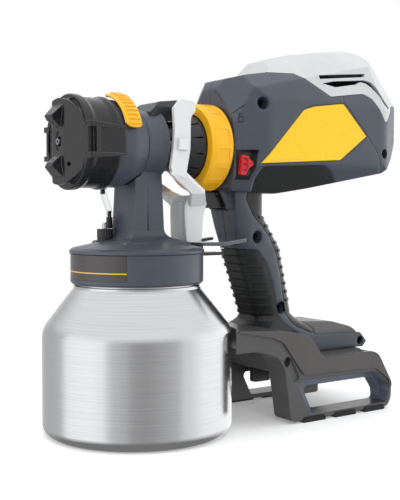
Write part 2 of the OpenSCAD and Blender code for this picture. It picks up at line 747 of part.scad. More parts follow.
module rear_plug() {
  color(charcoal) difference() {
    lathe_x([[barrel_back_x + 0.3, 0], [barrel_back_x + 0.3, 16], [26.5, 16], [28.5, 18.2, 2],
      [37, 20.6, 6], [38.5, plug_r], [50, plug_r, 1], [50, 0]]);
    // seat of the sealing ring
    lathe_x([[44, 19], [44, 22], [46.4, 22], [46.4, 19]]);
    // needle way, packing nut, spring and slot of the carrier
    bar_x(0, carrier_x, needle_r + 0.4);
    bar_x(0, 13.7, 5.6);
    bar_x(carrier_x - 4, spring_back, 5.4);
    block([carrier_x - 4, -22, axis_z - 3.9], [carrier_x + 7.6, 22, axis_z + 3.9]);
    // air ways
    for (i = [0 : 5]) {
      translate([0, 0, axis_z]) rotate([i * 60 + 30, 0, 0]) translate([0, 0, 12]) {
        rotate([0, 90, 0]) cylinder(h = 60, r = 2.7);
      }
    }
    // flats round the dome
    for (i = [0 : 11]) {
      translate([0, 0, axis_z]) rotate([i * 30 + 15, 0, 0]) {
        block([27, -0.6, 18.4], [37.5, 0.6, 24]);
      }
    }
  }
}

module plug_ring() {
  color(black) translate([45.2, 0, axis_z]) rotate([0, 90, 0]) {
    rotate_extrude() translate([20.12, 0]) circle(r = 1.1, $fn = 24);
  }
}

module lock_ring() {
  rim = ring_d / 2;
  step = 360 / ring_pockets;
  color(yellow) difference() {
    lathe_x([[ring_front_x, 21.6], [ring_front_x, rim - 1.6, 0.6], [ring_front_x + 2.4, rim, 1],
      [ring_back_x - 1, rim + 0.3, 1], [ring_back_x, rim - 0.6, 0], [ring_back_x, socket_r + 0.06],
      [ring_front_x + 1.3, socket_r + 0.06], [ring_front_x + 1.3, 21.6]]);
    for (i = [0 : ring_pockets - 1]) {
      translate([0, 0, axis_z]) rotate([i * step, 0, 0]) {
        block([ring_front_x + 4, -rim * 0.16, rim - 0.5], [ring_back_x - 3, rim * 0.16, rim + 3]);
      }
    }
  }
}

module air_socket() {
  color(charcoal) difference() {
    union() {
      bar_x(ring_front_x + 1.5, 64, socket_r);
      bar_x(60.4, 62.6, socket_r + 2.6);
    }
    bar_x(ring_front_x, 66, socket_bore);
    // notches for the lock ring's lugs
    for (i = [0 : 2]) {
      translate([0, 0, axis_z]) rotate([i * 120, 0, 0]) {
        block([ring_front_x, -3, 20], [ring_front_x + 5, 3, socket_r - 1.2]);
      }
    }
  }
}

// ---------- guard fork on the lid ----------

module guard_fork() {
  x0 = collar_r - 1;
  plate_z = lid_top - 4.25;
  color(silver) intersection() {
    side_prism([[x0, plate_z, 0], [52, plate_z, 4], [72.6, plate_z + 2.6, 1],
      [72.6, plate_z + 4.6, 1], [54, plate_z + 2.4, 4], [x0, plate_z + 2, 0]], -30, 30);
    difference() {
      plan_prism([[x0, -14, 3], [52, -21.6, 6], [72.6, -21.6, 3], [72.6, 21.6, 3],
        [52, 21.6, 6], [x0, 14, 3]], plate_z - 5, plate_z + 9);
      plan_prism([[52, -grip_w / 2 - 0.8, 5], [90, -grip_w / 2 - 0.8, 0],
        [90, grip_w / 2 + 0.8, 0], [52, grip_w / 2 + 0.8, 5]], plate_z - 6, plate_z + 10);
    }
  }
}

module guard_tongue() {
  low = lid_z - 3.2;
  color(charcoal) {
    block([collar_r + 1, -6, low], [64, 6, low + 2]);
    block([collar_r + 1, -6, low], [collar_r + 5, 6, lid_z + 0.45]);
  }
}

// ---------- housing ----------

// maps an outline written for the drawn sizes to the chosen ones
function body_fit(x) = x <= body_x ? x : body_x + (x - body_x) * body_l / drawn_body_l;
function up(z) = z >= grip_high ? z + rise : z <= grip_low ? z :
  grip_low + (z - grip_low) * (grip_high - grip_low + rise) / (grip_high - grip_low);
function fit(p) = [for (q = p) [body_fit(q[0]), up(q[1]), q[2]]];
function grow(p) = [for (q = p) [q[0], up(q[1]), q[2]]];

// whole outline of the housing and its cover from the side
side_outline = fit([[57, 153, 3], [97, 151.5, 0], [124, 155.6, 40], [187, 167, 5],
  [200.5, 177.5, 14], [211, 192.5, 24], [214, 215.5, 6], [190.5, 243.4, 10], [182, 253.8, 6],
  [171, 255.8, 12], [141, 251.9, 40], [115, 247.4, 30], [96, 242.6, 3], [91.6, 232.8, 2],
  [72, 229.4, 30], [60.6, 226.6, 4], [57, 220.6, 5]]);

// body outline from above
half_w = body_w / 2;
plan_outline = [for (q = [[57, -27, 0], [80, -half_w, 30], [188, -half_w, 20], [214, -19, 12],
  [214, 19, 12], [188, half_w, 20], [80, half_w, 30], [57, 27, 0]])
  [body_fit(q[0]), q[1], q[2]]];

// body outline from the front
front_outline = [for (q = [[-0.3, 146, 0], [0.3, 146, 0], [0.62, 153, 5], [1, 172, 14],
  [1, 213, 10], [0.69, 240, 0], [0.5, 262, 0], [-0.5, 262, 0], [-0.69, 240, 0],
  [-1, 213, 10], [-1, 172, 14], [-0.62, 153, 5]]) [q[0] * half_w, up(q[1]), q[2]]];

// what lies above a sloping flat through point p, whose normal tilts from +Z towards aim
module above_flat(p, tilt, aim, g) {
  translate(p) rotate([0, tilt, aim]) translate([-130, -130, -g]) cube([260, 260, 90]);
}

module body_form(g) {
  difference() {
    intersection() {
      side_prism(side_outline, -half_w - 5, half_w + 5, g);
      plan_prism(plan_outline, up(148), up(262), g);
      front_prism(front_outline, 50, 50 + body_l + 20, g);
    }
    both_sides() {
      // flats on the upper front corners and along both sides of the roof
      above_flat([body_x, -27, up(197)], 68.6, -149.7, g);
      above_flat([body_fit(113), -0.7 * half_w, up(232.3)], 41.2, -99.9, g);
      // flats on the upper rear corners
      above_flat([body_fit(200), -0.56 * half_w, up(230)], 68.3, -63.2, g);
    }
  }
}

// outline of the grip from the side
grip_side = grow([[88.6, 55, 0], [134, 55, 0], [121.8, 63.5, 12], [109.9, 115.5, 20],
  [95.2, 137.4, 16], [95.2, 172, 0], [66, 172, 0], [66, 152, 0], [68.2, 137, 20],
  [71.9, 114, 30], [83.8, 81.4, 30], [88.5, 67.5, 8]]);

// back of the grip from its foot upwards, as [x, z] folds
grip_back = [for (q = [[134, 54], [121.8, 63.5], [109.9, 115.5], [95.2, 137.4],
  [95.2, 172]]) [q[0], up(q[1])]];

// level sections of the foot that spreads the grip onto the deck, from the top
// downwards, as [z, front x, back x, half width]
foot_cuts = [for (q = [[76, 88, 116, 14.8], [71.5, 88.6, 118.6, 16], [68, 88, 121.2, 17.5],
  [65, 87, 123.8, 19], [63, 84.6, 126.8, 20.4], [61, 81.4, 130.5, 22], [58, 78.6, 135, 24.6],
  [54, 77, 139, 26]]) [up(q[0]), q[1], q[2], q[3] - 17 + grip_w / 2]];

// the foot as a stack of rounded rectangles, moved inwards by g
module foot_form(g) {
  steps = 6;
  sides = 4 * (steps + 1);
  n = len(foot_cuts);
  front_r = grip_w / 2 - 4 - g;
  back_r = grip_w / 2 - 2 - g;
  points = [for (q = foot_cuts) for (c = [0 : 3]) for (k = [0 : steps])
    let (r = c == 0 || c == 3 ? back_r : front_r, a = c * 90 + k * 90 / steps,
      x = c == 0 || c == 3 ? q[2] - g - r : q[1] + g + r, y = (q[3] - g - r) * (c < 2 ? 1 : -1))
    [x + r * cos(a), y + r * sin(a), q[0]]];
  faces = concat([[for (k = [0 : sides - 1]) sides - 1 - k]],
    [for (i = [0 : n - 2]) for (k = [0 : sides - 1]) for (half = [0, 1])
      let (m = (k + 1) % sides, a = i * sides, b = a + sides)
      half == 0 ? [a + k, a + m, b + m] : [a + k, b + m, b + k]],
    [[for (k = [0 : sides - 1]) (n - 1) * sides + k]]);
  polyhedron(points, faces);
}

// a bar with one pair of rounded edges that runs along the line from a to b, a little
// outside it; side is 1 where the rounded face is the bar's back
module round_bar(a, b, side, r, g) {
  lean = atan2(a[0] - b[0], b[1] - a[1]);
  near = side * 0.3;
  far = -side * 90;
  translate([a[0], 0, a[1]]) rotate([0, -lean, 0]) {
    plan_prism([[near, -grip_w / 2, r], [near, grip_w / 2, r], [far, grip_w / 2, 0],
      [far, -grip_w / 2, 0]], -70, 130, g);
  }
}

module grip_form(g) {
  front_r = grip_w / 2 - 4;
  back_r = grip_w / 2 - 2;
  intersection() {
    side_prism(grip_side, -grip_w / 2 - 5, grip_w / 2 + 5, g);
    round_bar([88.4, up(67)], [71.9, up(114)], -1, front_r, g);
    union() {
      for (i = [0 : len(grip_back) - 2]) {
        intersection() {
          round_bar(grip_back[i], grip_back[i + 1], 1, back_r, g);
          block([0, -60, grip_back[i][1]], [150, 60, grip_back[i + 1][1]]);
        }
      }
    }
  }
}

module whole_form(g) {
  body_form(g);
  grip_form(g);
  foot_form(g);
}

cover_region = fit([[74, 231.5, 0], [110, 232.4, 0], [136, 217.8, 3], [168.4, 222.2, 8],
  [175.6, 219.4, 5], [188.6, 201.8, 3], [203, 215.5, 0], [225, 221, 0], [225, 270, 0],
  [74, 270, 0]]);
rear_region = fit([[147.4, 214.6, 0], [169.9, 192.4, 3], [179.6, 181, 14], [184.5, 169, 0],
  [187, 150, 0], [230, 150, 0], [230, 240, 0], [147.4, 240, 0]]);
panel_region = fit([[73.6, 170.4, 0.5], [143.6, 174.6, 1], [169.2, 192.4, 1],
  [146.2, 214.2, 1.2], [119.2, 210.7, 5], [109.9, 207.8, 6]]);
rear_rubber = concat(grow([[124.3, 55.6, 0], [150, 55.6, 0], [150, 150, 0]]),
  fit([[150, 157, 0], [138, 167.3, 3], [129.5, 171.2, 2], [76.6, 168.8, 2], [74, 161, 4]]),
  grow([[75.4, 153.2, 4], [73.8, 148.2, 4], [79.7, 137.5, 12], [88.2, 129.5, 0],
  [95.6, 121.4, 12], [100.4, 110.5, 12], [104.6, 96.8, 0], [107, 79.7, 12],
  [108.4, 70, 8], [112, 61.4, 8]]));
front_rubber = grow([[60, 50, 0], [124, 50, 0], [112.3, 57, 8], [104, 63.6, 10],
  [101.4, 73, 12], [97.4, 91, 12], [92.4, 104, 10], [84.6, 113.6, 5], [60, 115.6, 0]]);

module skins(g) {
  side_prism(rear_rubber, -60, 60, g);
  side_prism(front_rubber, -60, 60, g);
  side_prism(panel_region, -60, 60, g);
}

latch_window = fit([[58.8, 178.4, 1], [57.6, 160.9, 1], [69.6, 160.1, 1], [73.2, 179.4, 1]]);

// screws as [x, z, outer y of the surface they enter]
screw_spots = [[body_fit(76), up(209.8), -half_w + 1.4], [84.1, up(122.4), -grip_w / 2],
  [105.1, up(73.6), -grip_w / 2 + 0.5]];
rear_screw = [body_fit(187.5), up(180.8)];
foot_half = 26;
foot_screw_x = 171.4;
foot_screw_z = 46.6;
foot_block = [[104.5, 42.2, 0], [174, 42.2, 1], [177.8, 45.8, 1], [171.5, 52.6, 2],
  [104.5, 55.5, 2]];

// both halves of the housing in one piece, before it is split down the middle
module housing_shape() {
  difference() {
    union() {
      difference() {
        whole_form(0);
        skins(0);
        side_prism(cover_region, -60, 60, 0);
        side_prism(rear_region, -60, 60, 0);
      }
      difference() {
        whole_form(skin + seam);
        side_prism(cover_region, -60, 60, 0);
        side_prism(rear_region, -60, 60, 0);
      }
      side_prism(foot_block, -foot_half, foot_half);
      // cheeks beside the switch button
      both_sides() side_prism(grow([[57.5, 153.5, 0], [64, 141, 0.6], [72, 141, 0],
        [72, 156, 0], [57.5, 156, 0]]), -10.5, -8);
    }
    // hollow of the body, with posts left for the screws
    difference() {
      body_form(skin + seam + wall);
      for (s = screw_spots) {
        bar_y(s[0], s[1], -half_w, half_w, 6);
      }
    }
    // hollow of the grip
    difference() {
      grip_form(skin + seam + wall + 1);
      block([60, -60, up(40)], [140, 60, up(66)]);
      for (s = screw_spots) {
        bar_y(s[0], s[1], -half_w, half_w, 5.6);
      }
    }
    // hollow of the foot for the control board
    block([109, -22, 45], [169, 22, 50.4]);
    // the air socket, the switch button and the latch
    bar_x(50, 66, socket_r + 0.3);
    bar_x(60.2, 62.8, socket_r + 2.9);
    block([50, -7, up(141.3)], [80, 7, up(152.6)]);
    side_prism(latch_window, -60, 6 - half_w);
    // screw holes from the left side
    for (s = screw_spots) {
      bar_y(s[0], s[1], -60, s[2] + 7, 4.2);
      bar_y(s[0], s[1], -60, 10, 1.65);
    }
    bar_y(foot_screw_x, foot_screw_z, -60, -foot_half + 4, 3.1);
    bar_y(foot_screw_x, foot_screw_z, -60, 16, 1.65);
  }
}

module housing_left() {
  color(blue_grey) difference() {
    housing_shape();
    block([-50, 0, -10], [300, 90, 320]);
  }
}

module housing_right() {
  color(blue_grey) difference() {
    housing_shape();
    block([-50, -90, -10], [300, 0, 320]);
  }
}

module rear_shell() {
  color(blue_grey) difference() {
    intersection() {
      body_form(0);
      side_prism(rear_region, -60, 60, seam);
    }
    side_prism(cover_region, -60, 60, 0);
    difference() {
      body_form(wall);
      both_sides() bar_y(rear_screw[0], rear_screw[1], -half_w, -half_w + 14, 5.6);
    }
    bar_y(rear_screw[0], rear_screw[1], -60, 6 - half_w, 3.6);
    bar_y(rear_screw[0], rear_screw[1], -60, 20 - half_w, 1.65);
  }
}

module side_panel() {
  difference() {
    intersection() {
      body_form(0.25);
      side_prism(panel_region, -60, 0, seam);
    }
    body_form(skin + 0.25);
  }
}

module side_panel_left() {
  color(yellow) side_panel();
}

module side_panel_right() {
  color(yellow) mirror([0, 1, 0]) side_panel();
}

slot_one = fit([[130, 230.3, 0], [174.8, 235.5, 0.6], [176, 238, 0.6], [129.8, 233, 0]]);
slot_two = fit([[131.3, 227.2, 0], [142.5, 225.4, 1], [164.6, 229.2, 2], [168.6, 231.2, 2],
  [173.5, 230.8, 3], [178.4, 228, 3], [184, 222.4, 0], [190, 216.2, 0], [196, 213.4, 0.6],
  [198.2, 214.6, 0.6], [190.8, 221.4, 0], [184.8, 227.4, 6], [180, 231.9, 4], [173.5, 233, 0],
  [143.4, 229.8, 0]]);

module top_cover() {
  color(silver) difference() {
    intersection() {
      body_form(0);
      side_prism(cover_region, -60, 60, seam);
    }
    body_form(wall);
    side_prism(slot_one, -60, 60);
    side_prism(slot_two, -60, 60);
    // shallow step across the top
    block([body_fit(113), -60, up(250.3)], [body_fit(114), 60, up(262)]);
  }
}

module filter_mat() {
  color(charcoal) intersection() {
    body_form(wall + 0.4);
    side_prism(fit([[118, 233, 0], [172, 233, 0], [184, 229, 0], [190, 236, 0], [186, 244, 0],
      [122, 240, 0]]), -60, 60);
  }
}

// raised ribs that run round the grip
module grip_ribs_at(spots, region, height, edge) {
  intersection() {
    grip_form(-height);
    side_prism(region, -60, 60, edge);
    union() {
      for (z = spots) {
        block([50, -60, z], [150, 60, z + 1.8]);
      }
    }
  }
}

module rear_grip() {
  color(charcoal) difference() {
    union() {
      intersection() {
        whole_form(0);
        side_prism(rear_rubber, -60, 60, seam);
      }
      grip_ribs_at([for (i = [0 : 10]) up(77.7 + i * 5.7)], rear_rubber, 0.7, 3);
    }
    whole_form(skin);
    side_prism(foot_block, -foot_half, foot_half);
  }
}

module front_grip() {
  color(charcoal) difference() {
    union() {
      intersection() {
        whole_form(0);
        side_prism(front_rubber, -60, 60, seam);
        block([50, -60, 50], [130, 60, up(130)]);
      }
      grip_ribs_at([for (i = [0 : grip_ribs - 1]) up(69.1 + i * 38.2 / (grip_ribs - 1))],
        front_rubber, 0.9, 4.4);
    }
    whole_form(skin);
    side_prism(foot_block, -foot_half, foot_half);
  }
}

module foot_pad_top() {
  color(charcoal) difference() {
    intersection() {
      side_prism([[126, 50, 0], [166, 49.6, 0], [169.6, 50.8, 1.5], [165, 57, 6], [152, 61, 14],
        [126, 62.4, 0]], 0.5 - foot_half, foot_half - 0.5);
      front_prism([[-26, 45, 0], [26, 45, 0], [26, 54.5, 6], [14, 62.6, 14], [-14, 62.6, 14],
        [-26, 54.5, 6]], 100, 200);
    }
    side_prism(foot_block, -60, 60, -0.05);
    whole_form(-0.05);
  }
}

module screw(x, z, y, head_r) {
  bar_y(x, z, y, y + 2.2, head_r);
  bar_y(x, z, y + 2.1, y + 15, 1.6);
}

module housing_screws() {
  color(metal) {
    for (s = screw_spots) {
      screw(s[0], s[1], s[2] + 4.75, 3.2);
    }
    screw(rear_screw[0], rear_screw[1], 3.75 - half_w, 3.2);
    screw(foot_screw_x, foot_screw_z, 1.75 - foot_half, 2.9);
  }
}

module release_latch() {
  y0 = 2.6 - half_w;
  color([0.80, 0.10, 0.12]) difference() {
    union() {
      side_prism(fit([[58.8, 163.4, 0], [62.6, 162.8, 1], [65.6, 168, 1], [65.6, 175, 1],
        [59.8, 176, 1]]), y0, y0 + 3.3);
      // nose that the finger pulls back
      side_prism(fit([[64, 167, 0], [68.2, 169.6, 0.8], [68.2, 171.4, 0.8], [64, 174, 0]]),
        y0 - 0.8, y0 + 3.3);
    }
    for (i = [0 : 2]) {
      block([body_fit(58), y0 - 2, up(165.6 + i * 3.6)], [body_fit(63.4), y0 + 0.9,
        up(166.8 + i * 3.6)]);
    }
  }
}

module switch_button() {
  color(black) difference() {
    side_prism(grow([[47.8, 144.4, 0], [50.4, 141.8, 0], [66, 141.8, 0], [66, 152.2, 0],
      [47.8, 152.2, 0.6]]), -6.6, 6.6);
    // step in the lower front and a groove round the nose
    block([46, -3.4, up(141)], [54, 3.4, up(145)]);
    block([56.4, -8, up(150.6)], [57.6, 8, up(153)]);
  }
}

module switch_body() {
  ear = skin + seam + wall + 1.1;
  color(black) {
    block([75.4, -7.4, up(141)], [84.8, 7.4, up(151.8)]);
    // ears that sit between the two halves of the grip
    intersection() {
      block([77, -grip_w / 2, up(143)], [80.5, grip_w / 2, up(149)]);
      grip_form(ear);
    }
  }
}

module motor() {
  color(metal) {
    translate([body_fit(116), 0, fan_z]) rotate([0, 90, 0]) cylinder(h = 44, r = 17);
    translate([body_fit(116) + 44, 0, fan_z]) rotate([0, 90, 0]) cylinder(h = 4, r = 6);
    // feet that hold the motor in the housing
    both_sides() block([body_fit(116) + 30, -half_w + wall + skin + seam + 0.02, fan_z - 4],
      [body_fit(116) + 40, -16, fan_z + 4]);
  }
}

module turbine_wheel() {
  x = fan_x + 5;
  color(silver) difference() {
    union() {
      translate([x, 0, fan_z]) rotate([0, 90, 0]) cylinder(h = 2, r = 25);
      translate([x, 0, fan_z]) rotate([0, 90, 0]) cylinder(h = 14, r = 5);
      translate([x - 1, 0, fan_z]) rotate([0, 90, 0]) cylinder(h = body_fit(116) - x + 0.8, r = 2);
      for (i = [0 : 11]) {
        translate([x, 0, fan_z]) rotate([i * 30, 0, 0]) rotate([0, 0, 0]) {
          translate([0, 4, 0]) rotate([0, 0, 0]) block([1.5, 0, -0.7], [9, 20, 0.7]);
        }
      }
    }
  }
}

module turbine_shroud() {
  x = fan_x;
  color(charcoal) difference() {
    union() {
      translate([x, 0, fan_z]) rotate([0, 90, 0]) cylinder(h = 22, r = 28);
      bar_x(64.4, x + 3, 22.6);
    }
    translate([x + 2.4, 0, fan_z]) rotate([0, 90, 0]) cylinder(h = 30, r = 26);
    bar_x(60, x + 5, 20.6);
  }
}

module control_board() {
  color([0.10, 0.34, 0.20]) {
    block([111, -19, 46], [167, 19, 47.6]);
    block([118, -12, 47.5], [130, 2, 50]);
    block([140, -4, 47.5], [150, 10, 49.6]);
  }
}

// ---------- stand ----------

stand_half = stand_w / 2;
frame_in = stand_half - frame_t;
stand_outline = [[38, 50.5, 0], [60, 50.5, 6], [78, 45.5, 10], [84, 37, 8], [89.5, 1.6, 4],
  [179.4, 1.6, 6], [182.4, 8, 5], [182.8, 18, 9], [168, 42, 10], [117.5, 42, 5], [104, 58, 5],
  [84, 62, 10], [38, 65.5, 0]];
deck_outline = [[38, 50.5, 0], [60, 50.5, 6], [84, 43, 8], [92, 31, 4.2], [168, 28.5, 0],
  [176, 30, 2], [168, 42, 2], [104.45, 42, 0], [104.45, 57.9, 0], [84, 62, 10], [38, 65.5, 0]];
window_outer = [[93.5, 28.8, 3], [106, 5.4, 4], [177.8, 5.4, 6], [180.2, 11, 3], [179.8, 17, 5],
  [168, 27.4, 6]];
window_inner = [[106.2, 22.2, 3], [115.2, 4.6, 3], [179.6, 4.6, 3], [178.8, 12, 2],
  [171.6, 22.2, 4]];
leg_screw = [86.5, 41.6];

module stand_side() {
  difference() {
    union() {
      side_prism(stand_outline, -stand_half, -frame_in);
      side_prism(deck_outline, -frame_in - 0.5, 0);
      // guide for the battery
      side_prism([[113, 14.6, 2], [129, 14.6, 2], [129, 30, 0], [113, 30, 0]],
        -frame_in - 0.5, 5 - frame_in);
    }
    side_prism(window_outer, -stand_half - 1, 9 - stand_half);
    side_prism(window_inner, -stand_half - 1, 1 - frame_in);
    // round front that clears the cup
    translate([0, 0, -1]) cylinder(h = 120, r = cup_r + 3.5, $fn = 96);
    // bead line below the skirt, and recess with the screw
    side_prism([[84, 40, 2], [92, 27, 2], [97, 30, 2], [88.5, 45.5, 2]],
      -stand_half - 1, 1.6 - stand_half);
    bar_y(leg_screw[0], leg_screw[1], -stand_half - 1, 6 - stand_half, 3.4);
    // the grip's foot and its rubber stand on the deck
    whole_form(-0.05);
    block([126, -13.3, 20], [152.4, 13.3, 35]);
  }
}

module stand_left() {
  color(blue_grey) stand_side();
}

module stand_right() {
  color(blue_grey) mirror([0, 1, 0]) stand_side();
}

skirt = [[46, 64, 0], [73.5, 58.3, 3], [82, 54.4, 4], [99.5, 31.8, 4], [160, 30.4, 0],
  [167, 29.6, 8], [179.2, 20.6, 6], [181, 12.8, 1], [182, 18.4, 6], [167.8, 41.4, 8],
  [117.2, 41.4, 5], [104, 57.6, 5], [84, 61.6, 8], [46, 64.6, 0]];

module bumper() {
  difference() {
    side_prism(skirt, -stand_half - 1.4, -stand_half - 0.02);
    translate([0, 0, -1]) cylinder(h = 120, r = cup_r + 3.5, $fn = 96);
  }
}

module bumper_left() {
  color(charcoal) bumper();
}

module bumper_right() {
  color(charcoal) mirror([0, 1, 0]) bumper();
}

module foot_pads() {
  for (x = [98, 126, 154]) {
    difference() {
      side_prism([[x, 0, 1], [x + 22, 0, 1], [x + 20, 3.6, 1], [x + 3, 3.6, 1]],
        -stand_half - 0.9, -frame_in - 2);
      side_prism(stand_outline, -stand_half - 0.02, -frame_in + 5, -0.02);
    }
  }
}

module foot_pads_left() {
  color(black) foot_pads();
}

module foot_pads_right() {
  color(black) mirror([0, 1, 0]) foot_pads();
}

module battery_terminal() {
  color(black) difference() {
    block([126.2, -13, 16], [152.2, 13, 34.8]);
    // slots of the battery contacts
    for (y = [-9, -3, 3, 9]) {
      block([124, y - 0.8, 14], [147, y + 0.8, 24]);
    }
  }
}

cup();
cup_gasket();
suction_tube();
tube_seal();
collar();
collar_label();
spray_body();
top_hood();
valve_base();
valve_nut();
valve_pin();
hose_elbow();
vent_hose();
hose_nipple();
nozzle_nut();
nozzle();
nozzle_seal();
air_cap();
width_lever();
needle();
needle_carrier();
needle_spring();
packing_nut();
trigger();
trigger_pin();
rear_plug();
plug_ring();
lock_ring();
air_socket();
guard_fork();
guard_tongue();
housing_left();
housing_right();
rear_shell();
side_panel_left();
side_panel_right();
top_cover();
filter_mat();
rear_grip();
front_grip();
foot_pad_top();
housing_screws();
release_latch();
switch_button();
switch_body();
motor();
turbine_wheel();
turbine_shroud();
control_board();
battery_terminal();
stand_left();
stand_right();
bumper_left();
bumper_right();
foot_pads_left();
foot_pads_right();
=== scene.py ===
import math

import bpy
from mathutils import Matrix, Vector


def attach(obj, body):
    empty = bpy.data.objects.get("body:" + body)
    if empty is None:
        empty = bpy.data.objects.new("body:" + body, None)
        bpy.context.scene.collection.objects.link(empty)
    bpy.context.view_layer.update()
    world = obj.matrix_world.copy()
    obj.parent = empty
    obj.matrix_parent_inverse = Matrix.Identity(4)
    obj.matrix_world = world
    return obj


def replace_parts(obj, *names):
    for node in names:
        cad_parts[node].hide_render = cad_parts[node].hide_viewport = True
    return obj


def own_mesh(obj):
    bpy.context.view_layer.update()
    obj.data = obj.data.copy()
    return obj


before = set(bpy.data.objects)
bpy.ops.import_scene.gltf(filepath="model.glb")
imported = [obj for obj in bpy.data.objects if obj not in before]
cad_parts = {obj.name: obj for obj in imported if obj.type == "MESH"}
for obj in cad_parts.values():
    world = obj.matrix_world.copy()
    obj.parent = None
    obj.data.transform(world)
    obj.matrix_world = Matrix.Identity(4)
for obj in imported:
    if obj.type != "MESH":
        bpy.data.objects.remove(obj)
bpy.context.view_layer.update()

# Studio. A white room whose round wall is lit in soft bands, as shiny pieces show it, and a
# floor that fades out into it; softboxes stand in front, behind, overhead and by the camera.

def wire(tree, source, output, target, socket):
    """Links an output of one shader node to an input of another."""
    tree.links.new(source.outputs[output], target.inputs[socket])

scene = bpy.context.scene
scene.view_settings.view_transform = "Standard"
room = bpy.data.worlds.new("white_room")
scene.world = room
room.use_nodes = True
room_tree = room.node_tree
room_tree.nodes.clear()
room_end = room_tree.nodes.new("ShaderNodeOutputWorld")
room_mix = room_tree.nodes.new("ShaderNodeMixShader")
room_path = room_tree.nodes.new("ShaderNodeLightPath")
room_dim = room_tree.nodes.new("ShaderNodeBackground")
room_dim.inputs["Color"].default_value = (0.95, 0.97, 1.0, 1)
room_dim.inputs["Strength"].default_value = 0.42
room_white = room_tree.nodes.new("ShaderNodeBackground")
room_white.inputs["Color"].default_value = (1, 1, 1, 1)
room_white.inputs["Strength"].default_value = 1.0
room_way = room_tree.nodes.new("ShaderNodeTexCoord")
room_axes = room_tree.nodes.new("ShaderNodeSeparateXYZ")
wire(room_tree, room_way, "Generated", room_axes, 0)
bearing = room_tree.nodes.new("ShaderNodeMath")
bearing.operation = "ARCTAN2"
wire(room_tree, room_axes, "Y", bearing, 0)
wire(room_tree, room_axes, "X", bearing, 1)
turn = room_tree.nodes.new("ShaderNodeMapRange")
turn.inputs["From Min"].default_value = -math.pi
turn.inputs["From Max"].default_value = math.pi
wire(room_tree, bearing, 0, turn, "Value")
wall = room_tree.nodes.new("ShaderNodeValToRGB")
wall.color_ramp.interpolation = "EASE"
brightest = 2.0
bands = ((-180, 1.25), (-163, 1.2), (-152, 0.72), (-138, 0.62), (-124, 0.42), (-108, 0.4), (-92, 0.5),
         (-74, 0.6), (-62, 0.9), (-30, 1.25), (35, 1.3), (70, 0.8), (95, 0.55), (133, 0.6), (150, 1.2),
         (180, 1.25))
while len(wall.color_ramp.elements) < len(bands):
    wall.color_ramp.elements.new(0.5)
for element, (degrees, light) in zip(wall.color_ramp.elements, bands):
    element.position = (degrees + 180) / 360
    element.color = (light / brightest, light / brightest, light / brightest, 1)
wire(room_tree, turn, 0, wall, "Fac")
glow = wall.outputs[0]
ceiling, ground = (0.25, 0.6, 0.5), (-0.25, -0.6, 0.12)
for low, high, light in (ceiling, ground):
    tilt = room_tree.nodes.new("ShaderNodeMapRange")
    tilt.inputs["From Min"].default_value = low
    tilt.inputs["From Max"].default_value = high
    wire(room_tree, room_axes, "Z", tilt, "Value")
    band = room_tree.nodes.new("ShaderNodeMix")
    band.data_type = "RGBA"
    wire(room_tree, tilt, 0, band, 0)
    room_tree.links.new(glow, band.inputs[6])
    band.inputs[7].default_value = (light, light, light, 1)
    glow = band.outputs[2]
room_shine = room_tree.nodes.new("ShaderNodeBackground")
room_shine.inputs["Strength"].default_value = brightest
room_tree.links.new(glow, room_shine.inputs["Color"])
room_seen = room_tree.nodes.new("ShaderNodeMixShader")
wire(room_tree, room_path, "Is Glossy Ray", room_seen, 0)
wire(room_tree, room_dim, 0, room_seen, 1)
wire(room_tree, room_shine, 0, room_seen, 2)
wire(room_tree, room_path, "Is Camera Ray", room_mix, 0)
wire(room_tree, room_seen, 0, room_mix, 1)
wire(room_tree, room_white, 0, room_mix, 2)
wire(room_tree, room_mix, 0, room_end, "Surface")

bpy.ops.object.select_all(action="DESELECT")
bpy.ops.mesh.primitive_circle_add(vertices=96, radius=0.8, fill_type="NGON", location=(0.06, 0, 0))
floor = bpy.context.object
floor.name = "floor"
floor_paint = bpy.data.materials.new("pale_floor")
floor_paint.use_nodes = True
floor_tree = floor_paint.node_tree
floor_tree.nodes.clear()
floor_end = floor_tree.nodes.new("ShaderNodeOutputMaterial")
floor_mix = floor_tree.nodes.new("ShaderNodeMixShader")
floor_matt = floor_tree.nodes.new("ShaderNodeBsdfDiffuse")
floor_matt.inputs["Color"].default_value = (0.9, 0.9, 0.9, 1)
floor_clear = floor_tree.nodes.new("ShaderNodeBsdfTransparent")
floor_place = floor_tree.nodes.new("ShaderNodeTexCoord")
floor_reach = floor_tree.nodes.new("ShaderNodeVectorMath")
floor_reach.operation = "LENGTH"
floor_fade = floor_tree.nodes.new("ShaderNodeMapRange")
floor_fade.inputs["From Min"].default_value = 0.3
floor_fade.inputs["From Max"].default_value = 0.75
wire(floor_tree, floor_place, "Object", floor_reach, 0)
wire(floor_tree, floor_reach, "Value", floor_fade, "Value")
floor_path = floor_tree.nodes.new("ShaderNodeLightPath")
floor_gone = floor_tree.nodes.new("ShaderNodeMath")
floor_gone.operation = "MAXIMUM"
wire(floor_tree, floor_fade, "Result", floor_gone, 0)
wire(floor_tree, floor_path, "Is Glossy Ray", floor_gone, 1)
wire(floor_tree, floor_gone, 0, floor_mix, 0)
floor_lift = floor_tree.nodes.new("ShaderNodeEmission")
floor_lift.inputs["Strength"].default_value = 0.22
wire(floor_tree, floor_path, "Is Camera Ray", floor_lift, "Color")
floor_sum = floor_tree.nodes.new("ShaderNodeAddShader")
wire(floor_tree, floor_matt, 0, floor_sum, 0)
wire(floor_tree, floor_lift, 0, floor_sum, 1)
wire(floor_tree, floor_sum, 0, floor_mix, 1)
wire(floor_tree, floor_clear, 0, floor_mix, 2)
wire(floor_tree, floor_mix, 0, floor_end, "Surface")
floor.data.materials.append(floor_paint)

